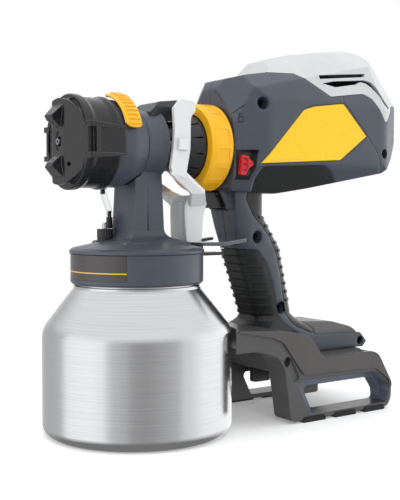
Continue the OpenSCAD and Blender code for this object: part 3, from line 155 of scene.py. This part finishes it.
def softbox(name, place, aim, width, height, power):
    """A flat lamp aimed at a point; it lights the pieces but isn't mirrored in them."""
    bpy.ops.object.light_add(type="AREA", location=place)
    lamp = bpy.context.object
    lamp.name = name
    lamp.data.shape = "RECTANGLE"
    lamp.data.size = width
    lamp.data.size_y = height
    lamp.data.energy = power
    lamp.visible_glossy = False
    lamp.rotation_euler = (Vector(aim) - Vector(place)).to_track_quat("-Z", "Y").to_euler()

middle = (0.06, 0, 0.12)
softbox("front_softbox", (-1.55, 0.25, 0.5), middle, 1.25, 1.7, 12)
softbox("back_softbox", (1.5, -0.4, 0.45), middle, 2.3, 1.6, 13)
softbox("top_softbox", (0.0, 0.1, 1.6), middle, 2.6, 2.4, 24)
softbox("camera_fill", (-0.6, -1.5, 0.8), middle, 1.2, 1.2, 8)

lens_mm = 65.38
camera_place = Vector((-0.2972, -0.4937, 0.1404))
camera_aim = Vector((0.5738, 0.8190, -math.tan(math.radians(2.51))))
bpy.ops.object.camera_add(location=camera_place)
camera = bpy.context.object
camera.name = "camera"
camera.data.lens = lens_mm
camera.data.sensor_fit = "VERTICAL"
camera.data.sensor_height = 36
camera.data.clip_start = 0.01
camera.rotation_euler = camera_aim.to_track_quat("-Z", "Y").to_euler()
scene.camera = camera


# Paint cup. One litre of spun aluminium, drawn from a flat disc over a former, so fine
# turning lines run round it; the thread for the collar is rolled into its neck.

def srgb(red, green, blue):
    """A colour written in display values from 0 to 255, as Blender's linear one."""
    values = [v / 255 for v in (red, green, blue)]
    return tuple(v / 12.92 if v < 0.04045 else ((v + 0.055) / 1.055) ** 2.4 for v in values) + (1.0,)

def bare_material(name, roughness, metallic=0.0):
    """A Principled surface with its tree, its shader and the object's own coordinates."""
    material = bpy.data.materials.new(name)
    material.use_nodes = True
    tree = material.node_tree
    tree.nodes.clear()
    end = tree.nodes.new("ShaderNodeOutputMaterial")
    shader = tree.nodes.new("ShaderNodeBsdfPrincipled")
    shader.inputs["Roughness"].default_value = roughness
    shader.inputs["Metallic"].default_value = metallic
    place = tree.nodes.new("ShaderNodeTexCoord")
    wire(tree, shader, "BSDF", end, "Surface")
    return material, tree, shader, place

def noise(tree, place, scale, detail=2.0, stretch=None, roughness=0.5):
    """Noise in the object's metres; stretch squeezes it along the axes."""
    texture = tree.nodes.new("ShaderNodeTexNoise")
    texture.inputs["Scale"].default_value = scale
    texture.inputs["Detail"].default_value = detail
    texture.inputs["Roughness"].default_value = roughness
    if stretch is None:
        wire(tree, place, "Object", texture, "Vector")
    else:
        mapping = tree.nodes.new("ShaderNodeMapping")
        mapping.inputs["Scale"].default_value = stretch
        wire(tree, place, "Object", mapping, "Vector")
        wire(tree, mapping, "Vector", texture, "Vector")
    return texture

def spread(tree, source, output, low, high, to_low, to_high):
    """Maps a value from low..high to to_low..to_high, clamped."""
    ranged = tree.nodes.new("ShaderNodeMapRange")
    ranged.inputs["From Min"].default_value = low
    ranged.inputs["From Max"].default_value = high
    ranged.inputs["To Min"].default_value = to_low
    ranged.inputs["To Max"].default_value = to_high
    wire(tree, source, output, ranged, "Value")
    return ranged

def blend_colours(tree, first, second, factor, output="Result"):
    """A colour between two, where each is a colour or a node that gives one."""
    mix = tree.nodes.new("ShaderNodeMix")
    mix.data_type = "RGBA"
    for socket, value in ((6, first), (7, second)):
        if isinstance(value, tuple):
            mix.inputs[socket].default_value = value
        else:
            tree.links.new(value, mix.inputs[socket])
    wire(tree, factor, output, mix, 0)
    return mix.outputs[2]

def bumped(tree, height, output, strength, depth, under=None):
    """A bump of that depth in metres, over another normal if one is given."""
    bump = tree.nodes.new("ShaderNodeBump")
    bump.inputs["Strength"].default_value = strength
    bump.inputs["Distance"].default_value = depth
    wire(tree, height, output, bump, "Height")
    if under is not None:
        wire(tree, under, "Normal", bump, "Normal")
    return bump

def dress(material, *names):
    """Gives CAD nodes their finish."""
    for name in names:
        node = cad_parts[name]
        node.data.materials.clear()
        node.data.materials.append(material)

spun, tree, shader, place = bare_material("spun_aluminium", 0.3, 1.0)
rings = noise(tree, place, 1.0, 3.0, (18, 18, 5200), 0.65)
coarse = noise(tree, place, 1.0, 2.0, (6, 6, 900))
cloud = noise(tree, place, 26, 3.0)
line_tone = spread(tree, rings, "Fac", 0.3, 0.7, 0, 1)
tree.links.new(blend_colours(tree, srgb(204, 205, 206), srgb(226, 226, 228), line_tone),
               shader.inputs["Base Color"])
tree.links.new(spread(tree, cloud, "Fac", 0.3, 0.7, 0.17, 0.22).outputs[0], shader.inputs["Roughness"])
shader.inputs["Anisotropic"].default_value = 0.2
around = tree.nodes.new("ShaderNodeTangent")
around.direction_type = "RADIAL"
around.axis = "Z"
wire(tree, around, "Tangent", shader, "Tangent")
turned = bumped(tree, rings, "Fac", 0.06, 0.00002, bumped(tree, coarse, "Fac", 0.02, 0.00002))
wire(tree, turned, "Normal", shader, "Normal")
dress(spun, "cup")


# Collar, lid with its pillar and barrel, nozzle nut and housing shells. Injection moulded
# in one blue-grey glass-filled nylon, with the mould's fine spark-eroded grain.

def moulded(name, colour, roughness, grain=2600, relief=0.000012, worn_and_lit_colour=(1, 1, 1, 1), wear_and_highlight=0.18,
            specular=0.5, edge=0.00045, clouds=0.06):
    """Moulded plastic: mottled colour, eroded grain, softened edges lightened partly as rubbed wear, partly
    as a painted highlight.
    """
    material, tree, shader, place = bare_material(name, roughness)
    shader.inputs["Specular IOR Level"].default_value = specular
    mottle = noise(tree, place, 34, 4.0, roughness=0.6)
    handling = noise(tree, place, 210, 3.0)
    skin = noise(tree, place, grain, 2.0)
    soft_edge = tree.nodes.new("ShaderNodeBevel")
    soft_edge.samples = 6
    soft_edge.inputs["Radius"].default_value = edge
    flat = tree.nodes.new("ShaderNodeNewGeometry")
    facing = tree.nodes.new("ShaderNodeVectorMath")
    facing.operation = "DOT_PRODUCT"
    wire(tree, soft_edge, "Normal", facing, 0)
    wire(tree, flat, "Normal", facing, 1)
    # Edges are lightened towards the worn colour, partly as rubbed wear and partly as a painted highlight.
    rubbed_and_lit_edge = spread(tree, facing, "Value", 0.99, 0.75, 0.0, wear_and_highlight)
    tone = spread(tree, mottle, "Fac", 0.3, 0.7, 0.0, 1.0)
    darker = tuple(v * (1 - clouds) for v in colour[:3]) + (1,)
    lighter = tuple(v * (1 + clouds) for v in colour[:3]) + (1,)
    body_colour = blend_colours(tree, darker, lighter, tone)
    tree.links.new(blend_colours(tree, body_colour, worn_and_lit_colour, rubbed_and_lit_edge), shader.inputs["Base Color"])
    gloss = spread(tree, handling, "Fac", 0.3, 0.7, roughness - 0.04, roughness + 0.05)
    wire(tree, gloss, "Result", shader, "Roughness")
    wire(tree, bumped(tree, skin, "Fac", 0.5, relief, soft_edge), "Normal", shader, "Normal")
    return material

def product(tree, first, second):
    """Two masks multiplied."""
    node = tree.nodes.new("ShaderNodeMath")
    node.operation = "MULTIPLY"
    wire(tree, first, 0, node, 0)
    wire(tree, second, 0, node, 1)
    return node

def either(tree, masks):
    """The strongest of several masks."""
    found = masks[0]
    for mask in masks[1:]:
        node = tree.nodes.new("ShaderNodeMath")
        node.operation = "MAXIMUM"
        wire(tree, found, 0, node, 0)
        wire(tree, mask, 0, node, 1)
        found = node
    return found

def stroke(tree, place, start, end, width, output="Object"):
    """A mask for a straight line between two points on a flat seen along Y, as x and z in
    millimetres."""
    across, rise = end[0] - start[0], end[1] - start[1]
    mapping = tree.nodes.new("ShaderNodeMapping")
    mapping.vector_type = "TEXTURE"
    mapping.inputs["Location"].default_value = ((start[0] + end[0]) / 2000, 0, (start[1] + end[1]) / 2000)
    mapping.inputs["Rotation"].default_value = (0, -math.atan2(rise, across), 0)
    wire(tree, place, output, mapping, "Vector")
    parts = tree.nodes.new("ShaderNodeSeparateXYZ")
    wire(tree, mapping, "Vector", parts, 0)
    sides = []
    for axis, half in (("X", math.hypot(across, rise) / 2000), ("Z", width / 2000)):
        size = tree.nodes.new("ShaderNodeMath")
        size.operation = "ABSOLUTE"
        wire(tree, parts, axis, size, 0)
        sides.append(spread(tree, size, 0, half, half + 0.00018, 1, 0))
    return product(tree, *sides)

def mark_over(material, mask, colour, depth=0.0):
    """Lays a colour over a finished material where the mask is 1, and sinks it a little."""
    tree = material.node_tree
    shader = next(node for node in tree.nodes if node.type == "BSDF_PRINCIPLED")
    under = shader.inputs["Base Color"].links[0].from_socket
    tree.links.new(blend_colours(tree, under, colour, mask, 0), shader.inputs["Base Color"])
    if depth:
        sunk = tree.nodes.new("ShaderNodeBump")
        sunk.invert = True
        sunk.inputs["Strength"].default_value = 1
        sunk.inputs["Distance"].default_value = depth
        wire(tree, mask, 0, sunk, "Height")
        tree.links.new(shader.inputs["Normal"].links[0].from_socket, sunk.inputs["Normal"])
        wire(tree, sunk, "Normal", shader, "Normal")

casing = moulded("blue_grey_nylon", srgb(70, 75, 86), 0.34, worn_and_lit_colour=srgb(170, 176, 188), edge=0.0007)
dress(casing, "collar", "spray_body", "nozzle_nut", "rear_shell")


# Housing halves. The same nylon, with broad soft edges between their flats. Tick marks for
# the lock ring and a padlock sign are sunk into the front; the latch's pocket is painted
# near black, as painted shade in the recess.

housing_nylon = moulded("housing_nylon", srgb(70, 75, 86), 0.34, worn_and_lit_colour=srgb(120, 126, 138), wear_and_highlight=0.1,
                        edge=0.0035)
tree = housing_nylon.node_tree
place = next(node for node in tree.nodes if node.type == "TEX_COORD")
mark_width, mark_depth = 0.5, 0.0003
ring_tick = ((57.8, 202.8), (63.7, 208.4))
padlock = (((59.4, 200.6), (62.4, 200.6)), ((59.4, 197.0), (62.4, 197.0)), ((59.4, 200.6), (59.4, 197.0)),
           ((62.4, 200.6), (62.4, 197.0)), ((60.0, 200.6), (60.0, 202.4)), ((60.0, 202.4), (61.8, 202.7)))
front_ticks = (((-5.0, 219.5), (-9.5, 215.0)), ((-9.9, 215.9), (-14.5, 210.5)))
ticks = [stroke(tree, place, start, end, mark_width) for start, end in (ring_tick, *padlock)]
parts = tree.nodes.new("ShaderNodeSeparateXYZ")
wire(tree, place, "Object", parts, 0)
front_place = tree.nodes.new("ShaderNodeCombineXYZ")
for source, target in (("Y", "X"), ("X", "Y"), ("Z", "Z")):
    wire(tree, parts, source, front_place, target)
on_front = spread(tree, parts, "X", 0.0585, 0.0588, 1, 0)
for start, end in front_ticks:
    ticks.append(product(tree, stroke(tree, front_place, start, end, mark_width, "Vector"), on_front))
mark_over(housing_nylon, either(tree, ticks), srgb(40, 42, 47), mark_depth)
# The latch's pocket: its floor and walls are painted near black as painted shade in the recess.
lean = tree.nodes.new("ShaderNodeMath")
lean.operation = "MULTIPLY_ADD"
pocket_slope = -0.187
lean.inputs[1].default_value = pocket_slope
wire(tree, parts, "Z", lean, 0)
wire(tree, parts, "X", lean, 2)
pocket_shade = spread(tree, lean, 0, 0.03960, 0.03975, 1, 0)
for limit in (spread(tree, parts, "Z", 0.1600, 0.1602, 0, 1), spread(tree, parts, "Z", 0.1793, 0.1795, 1, 0),
              spread(tree, parts, "X", 0.0577, 0.0579, 0, 1), spread(tree, parts, "Y", -0.001, 0, 1, 0)):
    pocket_shade = product(tree, pocket_shade, limit)
mark_over(housing_nylon, pocket_shade, srgb(16, 16, 18))
dress(housing_nylon, "housing_left", "housing_right")


# Stand. Each side frame is moulded in the same nylon; the outer faces are left with a
# coarser charcoal grain, and the window's walls keep the blue-grey skin.

stand_nylon = moulded("stand_nylon", srgb(76, 75, 76), 0.32, worn_and_lit_colour=srgb(160, 160, 162), edge=0.0012)
tree = stand_nylon.node_tree
place = next(node for node in tree.nodes if node.type == "TEX_COORD")
parts = tree.nodes.new("ShaderNodeSeparateXYZ")
wire(tree, place, "Object", parts, 0)
to_side = tree.nodes.new("ShaderNodeMath")
to_side.operation = "ABSOLUTE"
wire(tree, parts, "Y", to_side, 0)
walls = [spread(tree, parts, "X", 0.0934, 0.0937, 0, 1), spread(tree, parts, "X", 0.1800, 0.1803, 1, 0),
         spread(tree, parts, "Z", 0.0050, 0.0053, 0, 1), spread(tree, parts, "Z", 0.0287, 0.0290, 1, 0),
         spread(tree, to_side, 0, 0.0294, 0.0296, 0, 1), spread(tree, to_side, 0, 0.0457, 0.0459, 1, 0)]
in_window = walls[0]
for wall in walls[1:]:
    in_window = product(tree, in_window, wall)
mark_over(stand_nylon, in_window, srgb(98, 106, 122))
dress(stand_nylon, "stand_left", "stand_right")


# Label round the collar's front. A printed polyester strip, left without print apart from
# one thin yellow rule under its middle.

label_rule_z = 0.1027
label_film, tree, shader, place = bare_material("label_film", 0.36)
shader.inputs["Coat Weight"].default_value = 0.25
shader.inputs["Coat Roughness"].default_value = 0.2
fibre = noise(tree, place, 900, 3.0)
height = tree.nodes.new("ShaderNodeSeparateXYZ")
wire(tree, place, "Object", height, 0)
off_rule = tree.nodes.new("ShaderNodeMath")
off_rule.operation = "SUBTRACT"
off_rule.inputs[1].default_value = label_rule_z
wire(tree, height, "Z", off_rule, 0)
away = tree.nodes.new("ShaderNodeMath")
away.operation = "ABSOLUTE"
wire(tree, off_rule, 0, away, 0)
on_rule = spread(tree, away, "Value", 0.0003, 0.0004, 1, 0)
ink = blend_colours(tree, srgb(58, 55, 55), srgb(68, 65, 65), fibre, "Fac")
tree.links.new(blend_colours(tree, ink, srgb(226, 184, 52), on_rule), shader.inputs["Base Color"])
wire(tree, bumped(tree, fibre, "Fac", 0.3, 0.00002), "Normal", shader, "Normal")
dress(label_film, "collar_label")


# Seals: cup gasket, tube seal, plug ring and the pads under the stand. Moulded in black
# nitrile rubber and pressed into their grooves and pockets.

seal_rubber = moulded("nitrile_rubber", srgb(38, 38, 39), 0.62, grain=1800, worn_and_lit_colour=srgb(80, 80, 80),
                      wear_and_highlight=0.1, specular=0.3)
dress(seal_rubber, "cup_gasket", "tube_seal", "plug_ring", "foot_pads_left", "foot_pads_right")


# Suction tube, extruded in white polythene, and the fan wheel moulded in white acetal.

white_plastic = moulded("white_acetal", srgb(222, 222, 218), 0.38, grain=1500, wear_and_highlight=0.05)
dress(white_plastic, "suction_tube", "turbine_wheel")


# Dark parts of the gun: hood over the barrel, dome of the rear plug, air socket, fan
# shroud and guard tongue. Moulded in charcoal nylon; the foot's pad is as the stand.

charcoal_nylon = moulded("charcoal_nylon", srgb(44, 45, 48), 0.3, worn_and_lit_colour=srgb(120, 120, 124))
dress(charcoal_nylon, "top_hood", "rear_plug", "air_socket", "guard_tongue", "turbine_shroud")
dress(stand_nylon, "foot_pad_top")


# Black fittings: air cap, vent valve, elbow, nipple, switch and battery terminal. Moulded
# in black acetal with a satin face.

black_acetal = moulded("black_acetal", srgb(30, 30, 32), 0.26, grain=2000, relief=0.000008,
                       worn_and_lit_colour=srgb(150, 150, 154), wear_and_highlight=0.35, edge=0.0008)
dress(black_acetal, "air_cap", "valve_base", "valve_nut", "hose_elbow", "hose_nipple",
      "switch_button", "switch_body", "battery_terminal")


# Yellow parts that the user turns: the spray width lever and the lock ring, and the
# nozzle's seal. Dyed through, satin; their ribs and edges are painted paler, partly as rubbing
# and partly as a painted highlight.

yellow_nylon = moulded("yellow_nylon", srgb(255, 190, 24), 0.34, grain=2200, worn_and_lit_colour=srgb(255, 232, 150),
                       wear_and_highlight=0.35, clouds=0.02)
dress(yellow_nylon, "width_lever", "lock_ring", "nozzle_seal")


# Side panels. A glossy yellow plate, moulded in one colour and clipped into the pocket in
# each side of the housing.

yellow_plate = moulded("yellow_plate", srgb(255, 208, 20), 0.3, grain=1200, relief=0.000002,
                       worn_and_lit_colour=srgb(255, 230, 140), wear_and_highlight=0.2, clouds=0.008)
dress(yellow_plate, "side_panel_left", "side_panel_right")


# Top cover. A pale silver-grey moulded shell with the air slots, clipped on over the
# filter and pulled off to clean it.

pale_shell = moulded("pale_shell", srgb(206, 208, 208), 0.34, grain=2400, worn_and_lit_colour=srgb(240, 240, 240),
                     wear_and_highlight=0.2)
dress(pale_shell, "top_cover")


# Trigger and needle carrier. Die cast or moulded and painted silver-white;
# fine metal flakes show in the paint.

silver_paint, tree, shader, place = bare_material("silver_paint", 0.32)
flakes = tree.nodes.new("ShaderNodeTexVoronoi")
flakes.inputs["Scale"].default_value = 5200
wire(tree, place, "Object", flakes, "Vector")
orange_peel = noise(tree, place, 620, 2.0)
soft_edge = tree.nodes.new("ShaderNodeBevel")
soft_edge.inputs["Radius"].default_value = 0.0006
glint = spread(tree, flakes, "Distance", 0.0, 0.6, 1, 0)
tree.links.new(blend_colours(tree, srgb(228, 229, 230), srgb(246, 247, 248), glint),
               shader.inputs["Base Color"])
shader.inputs["Metallic"].default_value = 0.08
shader.inputs["Coat Weight"].default_value = 0.3
shader.inputs["Coat Roughness"].default_value = 0.15
wire(tree, bumped(tree, orange_peel, "Fac", 0.3, 0.00004, soft_edge), "Normal", shader, "Normal")
dress(silver_paint, "trigger", "needle_carrier")


# Fork of the finger guard. A thin moulding in grey nylon with a satin skin; its edges are
# painted near white, partly as wear from the finger and the bench, partly as a painted highlight.

fork_nylon = moulded("fork_nylon", srgb(92, 95, 100), 0.32, grain=1800, relief=0.00001,
                       worn_and_lit_colour=srgb(205, 208, 212), wear_and_highlight=0.8, edge=0.0006)
dress(fork_nylon, "guard_fork")


# Bright metal: nozzle, needle, packing nut, pins and motor can. Turned steel with fine
# tool marks; the screws' frame node has it too, under the screws made below.

turned_steel, tree, shader, place = bare_material("turned_steel", 0.28, 1.0)
marks = noise(tree, place, 1.0, 2.0, (5200, 60, 60))
smear = noise(tree, place, 150, 3.0)
tree.links.new(blend_colours(tree, srgb(170, 172, 176), srgb(206, 208, 212), marks, "Fac"),
               shader.inputs["Base Color"])
tree.links.new(spread(tree, smear, "Fac", 0.3, 0.7, 0.2, 0.36).outputs[0], shader.inputs["Roughness"])
wire(tree, bumped(tree, marks, "Fac", 0.3, 0.00002), "Normal", shader, "Normal")
dress(turned_steel, "nozzle", "needle", "packing_nut", "trigger_pin", "valve_pin", "housing_screws",
      "motor")


# Return spring. Seven turns of hard-drawn wire on the needle, between the carrier and the
# plug's wall; it is built at its rest length, not shortened by the needle's four millimetres of travel.

spring_start = 0.0224
spring_length = 0.0138
barrel_height = 0.1813
bpy.ops.object.select_all(action="DESELECT")
spring_turns, wire_radius, coil_radius = 7, 0.00065, 0.0042
bpy.ops.mesh.primitive_circle_add(vertices=16, radius=wire_radius, location=(0, coil_radius, 0))
spring = bpy.context.object
spring.name = "return_spring"
bpy.ops.object.transform_apply(location=True, rotation=True, scale=True)
winding = spring.modifiers.new("winding", "SCREW")
winding.axis = "X"
winding.angle = 2 * math.pi
winding.screw_offset = spring_length / spring_turns
winding.iterations = spring_turns
winding.steps = 40
winding.render_steps = 40
winding.use_merge_vertices = True
winding.merge_threshold = 0.00001
bpy.ops.object.modifier_apply(modifier=winding.name)
bpy.ops.object.mode_set(mode="EDIT")
bpy.ops.mesh.select_all(action="SELECT")
bpy.ops.mesh.remove_doubles(threshold=0.00001)
bpy.ops.mesh.fill_holes(sides=0)
bpy.ops.mesh.select_all(action="SELECT")
bpy.ops.mesh.normals_make_consistent(inside=False)
bpy.ops.object.mode_set(mode="OBJECT")
bpy.ops.object.shade_smooth()
spring.location = (spring_start, 0, barrel_height)
bpy.ops.object.transform_apply(location=True, rotation=True, scale=True)
spring.data.materials.append(turned_steel)
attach(spring, "gun")
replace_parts(spring, "needle_spring")
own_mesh(spring)


# Screws of the housing. Self-tapping steel screws with a low dome and a six-lobed socket,
# blackened, driven into the right half from the left side.

black_oxide, tree, shader, place = bare_material("black_oxide", 0.42, 1.0)
patina = noise(tree, place, 900, 3.0)
tree.links.new(blend_colours(tree, srgb(34, 34, 36), srgb(66, 66, 70), patina, "Fac"),
               shader.inputs["Base Color"])
wire(tree, bumped(tree, patina, "Fac", 0.3, 0.00003), "Normal", shader, "Normal")

def screw_master(name, head):
    """One screw with its head's top at the origin, pointing along +Y; head is its radius."""
    head_height, border, socket, socket_depth = 0.0022, 0.0006, 0.0016, 0.0014
    thread, shank, tip = 0.0016, 0.0112, 0.0016
    bpy.ops.object.select_all(action="DESELECT")
    bpy.ops.mesh.primitive_cylinder_add(vertices=48, radius=head, depth=head_height,
                                        location=(0, head_height / 2, 0),
                                        rotation=(math.pi / 2, 0, 0))
    piece = bpy.context.object
    piece.name = name
    bpy.ops.object.transform_apply(location=True, rotation=True, scale=True)
    bpy.ops.object.mode_set(mode="EDIT")
    bpy.ops.mesh.select_all(action="DESELECT")
    bpy.ops.mesh.select_mode(type="FACE")
    bpy.ops.object.mode_set(mode="OBJECT")
    for face in piece.data.polygons:
        face.select = face.normal.y < -0.9
    bpy.ops.object.mode_set(mode="EDIT")
    bpy.ops.mesh.inset(thickness=border, depth=0.0)
    bpy.ops.mesh.inset(thickness=head - (border + socket), depth=0.00012)
    bpy.ops.object.mode_set(mode="OBJECT")
    rim = [v for v in piece.data.vertices if v.select]
    for v in rim:
        lobe = 1 + 0.16 * math.cos(6 * math.atan2(v.co.z, v.co.x))
        v.co.x *= lobe
        v.co.z *= lobe
    bpy.ops.object.mode_set(mode="EDIT")
    bpy.ops.mesh.extrude_region_move(TRANSFORM_OT_translate={"value": (0, socket_depth, 0)})
    bpy.ops.object.mode_set(mode="OBJECT")
    for face in piece.data.polygons:
        face.select = face.normal.y > 0.9 and face.center.y > 0.002
    bpy.ops.object.mode_set(mode="EDIT")
    bpy.ops.mesh.inset(thickness=head - thread, depth=0.0)
    bpy.ops.mesh.extrude_region_move(TRANSFORM_OT_translate={"value": (0, shank, 0)})
    bpy.ops.mesh.extrude_region_move(TRANSFORM_OT_translate={"value": (0, tip, 0)})
    bpy.ops.transform.resize(value=(0.35, 1, 0.35))
    bpy.ops.object.mode_set(mode="OBJECT")
    rounding = piece.modifiers.new("rounding", "BEVEL")
    rounding.width = 0.00025
    rounding.segments = 2
    rounding.limit_method = "ANGLE"
    rounding.angle_limit = math.radians(40)
    bpy.ops.object.modifier_apply(modifier=rounding.name)
    bpy.ops.object.shade_smooth_by_angle(angle=math.radians(35))
    piece.data.materials.append(black_oxide)
    return piece

def drive_in(master, name, spot):
    """A copy of the screw with the centre of its head's top at the spot, in millimetres."""
    piece = master.copy()
    piece.data = master.data.copy()
    piece.name = name
    scene.collection.objects.link(piece)
    piece.data.transform(Matrix.Translation([v / 1000 for v in spot]))
    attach(piece, "gun")
    return piece

housing_screw = screw_master("screw_front", 0.0031)
screw_places = {"screw_upper": (76, -27.85, 209.8), "screw_grip_top": (84.1, -12.25, 122.4),
                "screw_grip_foot": (105.1, -11.75, 73.6), "screw_rear": (187.5, -30.25, 180.8),
                "screw_deck": (171.4, -24.25, 46.6)}
for name, spot in screw_places.items():
    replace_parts(drive_in(housing_screw, name, spot), "housing_screws")
bpy.data.objects.remove(housing_screw)


# Release latch. A red moulded tongue that slides on a spring in the window of the left
# housing half, and frees the spray head.

red_latch = moulded("red_latch", srgb(196, 22, 34), 0.3, grain=1800, worn_and_lit_colour=srgb(240, 120, 120),
                    wear_and_highlight=0.25)
dress(red_latch, "release_latch")


# Rubber overmould on the grip and under the fan. Soft-touch elastomer, nearly black, with
# a matt, finely pitted face.

grip_rubber = moulded("grip_rubber", srgb(36, 37, 38), 0.36, grain=1500, relief=0.00003,
                      worn_and_lit_colour=srgb(96, 96, 97), wear_and_highlight=0.15, specular=0.4)
dress(grip_rubber, "rear_grip", "front_grip")


# Bumpers over the stand's frames. A harder, warmer grey elastomer, moulded on as a second
# shot; its corners are painted paler, partly as scuffing and partly as a painted highlight.

bumper_rubber = moulded("bumper_rubber", srgb(80, 78, 77), 0.34, grain=1500, relief=0.00002,
                        worn_and_lit_colour=srgb(150, 149, 148), wear_and_highlight=0.25, specular=0.4, edge=0.0009)
dress(bumper_rubber, "bumper_left", "bumper_right")


# Control board. Green solder mask over a fine weave of glass cloth; it is slid into ribs
# inside the foot.

solder_mask = moulded("solder_mask", srgb(26, 88, 52), 0.3, grain=900)
dress(solder_mask, "control_board")


# Air filter. A mat of open-celled foam laid in under the cover's slots; its faces are
# rough where it was sliced, and its cells show, their hollows painted near black as painted shade.

open_foam, tree, shader, place = bare_material("open_foam", 0.95)
cells = tree.nodes.new("ShaderNodeTexVoronoi")
cells.feature = "DISTANCE_TO_EDGE"
cells.inputs["Scale"].default_value = 900
wire(tree, place, "Object", cells, "Vector")
strut = spread(tree, cells, "Distance", 0.02, 0.2, 1, 0)
# Hollows of the cells are painted near black as painted shade; the struts between them are lighter.
tree.links.new(blend_colours(tree, srgb(16, 16, 17), srgb(58, 58, 60), strut), shader.inputs["Base Color"])
shader.inputs["Sheen Weight"].default_value = 0.2
shader.inputs["Specular IOR Level"].default_value = 0.1
wire(tree, bumped(tree, strut, "Result", 0.8, 0.0004), "Normal", shader, "Normal")
bpy.ops.object.select_all(action="DESELECT")
foam_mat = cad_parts["filter_mat"].copy()
foam_mat.data = foam_mat.data.copy()
foam_mat.name = "foam_mat"
foam_mat.data.materials.clear()
scene.collection.objects.link(foam_mat)
foam_mat.hide_render = False
foam_mat.hide_viewport = False
foam_mat.select_set(True)
bpy.context.view_layer.objects.active = foam_mat
bpy.ops.object.mode_set(mode="EDIT")
bpy.ops.mesh.select_all(action="SELECT")
bpy.ops.mesh.remove_doubles(threshold=0.00001)
bpy.ops.object.mode_set(mode="OBJECT")
recut = foam_mat.modifiers.new("recut", "REMESH")
recut.mode = "VOXEL"
recut.voxel_size = 0.0011
bpy.ops.object.modifier_apply(modifier=recut.name)
sliced = foam_mat.modifiers.new("sliced", "DISPLACE")
slice_marks = bpy.data.textures.new("slice_marks", "CLOUDS")
slice_marks.noise_scale = 0.004
slice_marks.noise_depth = 2
sliced.texture = slice_marks
sliced.texture_coords = "LOCAL"
sliced.mid_level = 1.0
sliced.strength = 0.0008
bpy.ops.object.modifier_apply(modifier=sliced.name)
bpy.ops.object.shade_smooth()
foam_mat.data.materials.append(open_foam)
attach(foam_mat, "gun")
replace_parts(foam_mat, "filter_mat")


# Vent hose. A short length of clear soft PVC tube, pushed over the elbow's spigot and the
# barrel's nipple, which leads the cup's air pressure down to the valve.

hose_ends = ((-0.0136, 0.012, 0.136), (-0.019, 0.010, 0.1537))
bpy.ops.object.select_all(action="DESELECT")
bpy.ops.curve.primitive_bezier_curve_add()
hose = bpy.context.object
hose.name = "clear_hose"
straight_run = Vector((0, 0, 0.0085))
for point, end in zip(hose.data.splines[0].bezier_points, hose_ends):
    point.handle_left_type = point.handle_right_type = "FREE"
    point.co = end
    point.handle_left = Vector(end) - straight_run
    point.handle_right = Vector(end) + straight_run
hose.data.resolution_u = 40
hose.data.bevel_depth = 0.0025
hose.data.bevel_resolution = 8
bpy.ops.object.convert(target="MESH")
hose = bpy.context.object
bore = hose.modifiers.new("bore", "SOLIDIFY")
bore.thickness = 0.001
bore.offset = -1
bpy.ops.object.mode_set(mode="EDIT")
bpy.ops.mesh.select_all(action="SELECT")
bpy.ops.mesh.remove_doubles(threshold=0.00001)
bpy.ops.mesh.normals_make_consistent(inside=False)
bpy.ops.object.mode_set(mode="OBJECT")
bpy.ops.object.modifier_apply(modifier=bore.name)
bpy.ops.object.transform_apply(location=True, rotation=True, scale=True)
bpy.ops.object.shade_smooth_by_angle(angle=math.radians(50))
hose_clear, tree, shader, place = bare_material("hose_clear", 0.08)
shader.inputs["Transmission Weight"].default_value = 1.0
shader.inputs["IOR"].default_value = 1.12
haze = noise(tree, place, 500, 3.0)
tree.links.new(blend_colours(tree, srgb(244, 248, 249), srgb(255, 255, 255), haze, "Fac"),
               shader.inputs["Base Color"])
wire(tree, bumped(tree, haze, "Fac", 0.2, 0.00002), "Normal", shader, "Normal")
hose.data.materials.append(hose_clear)
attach(hose, "gun")
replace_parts(hose, "vent_hose")
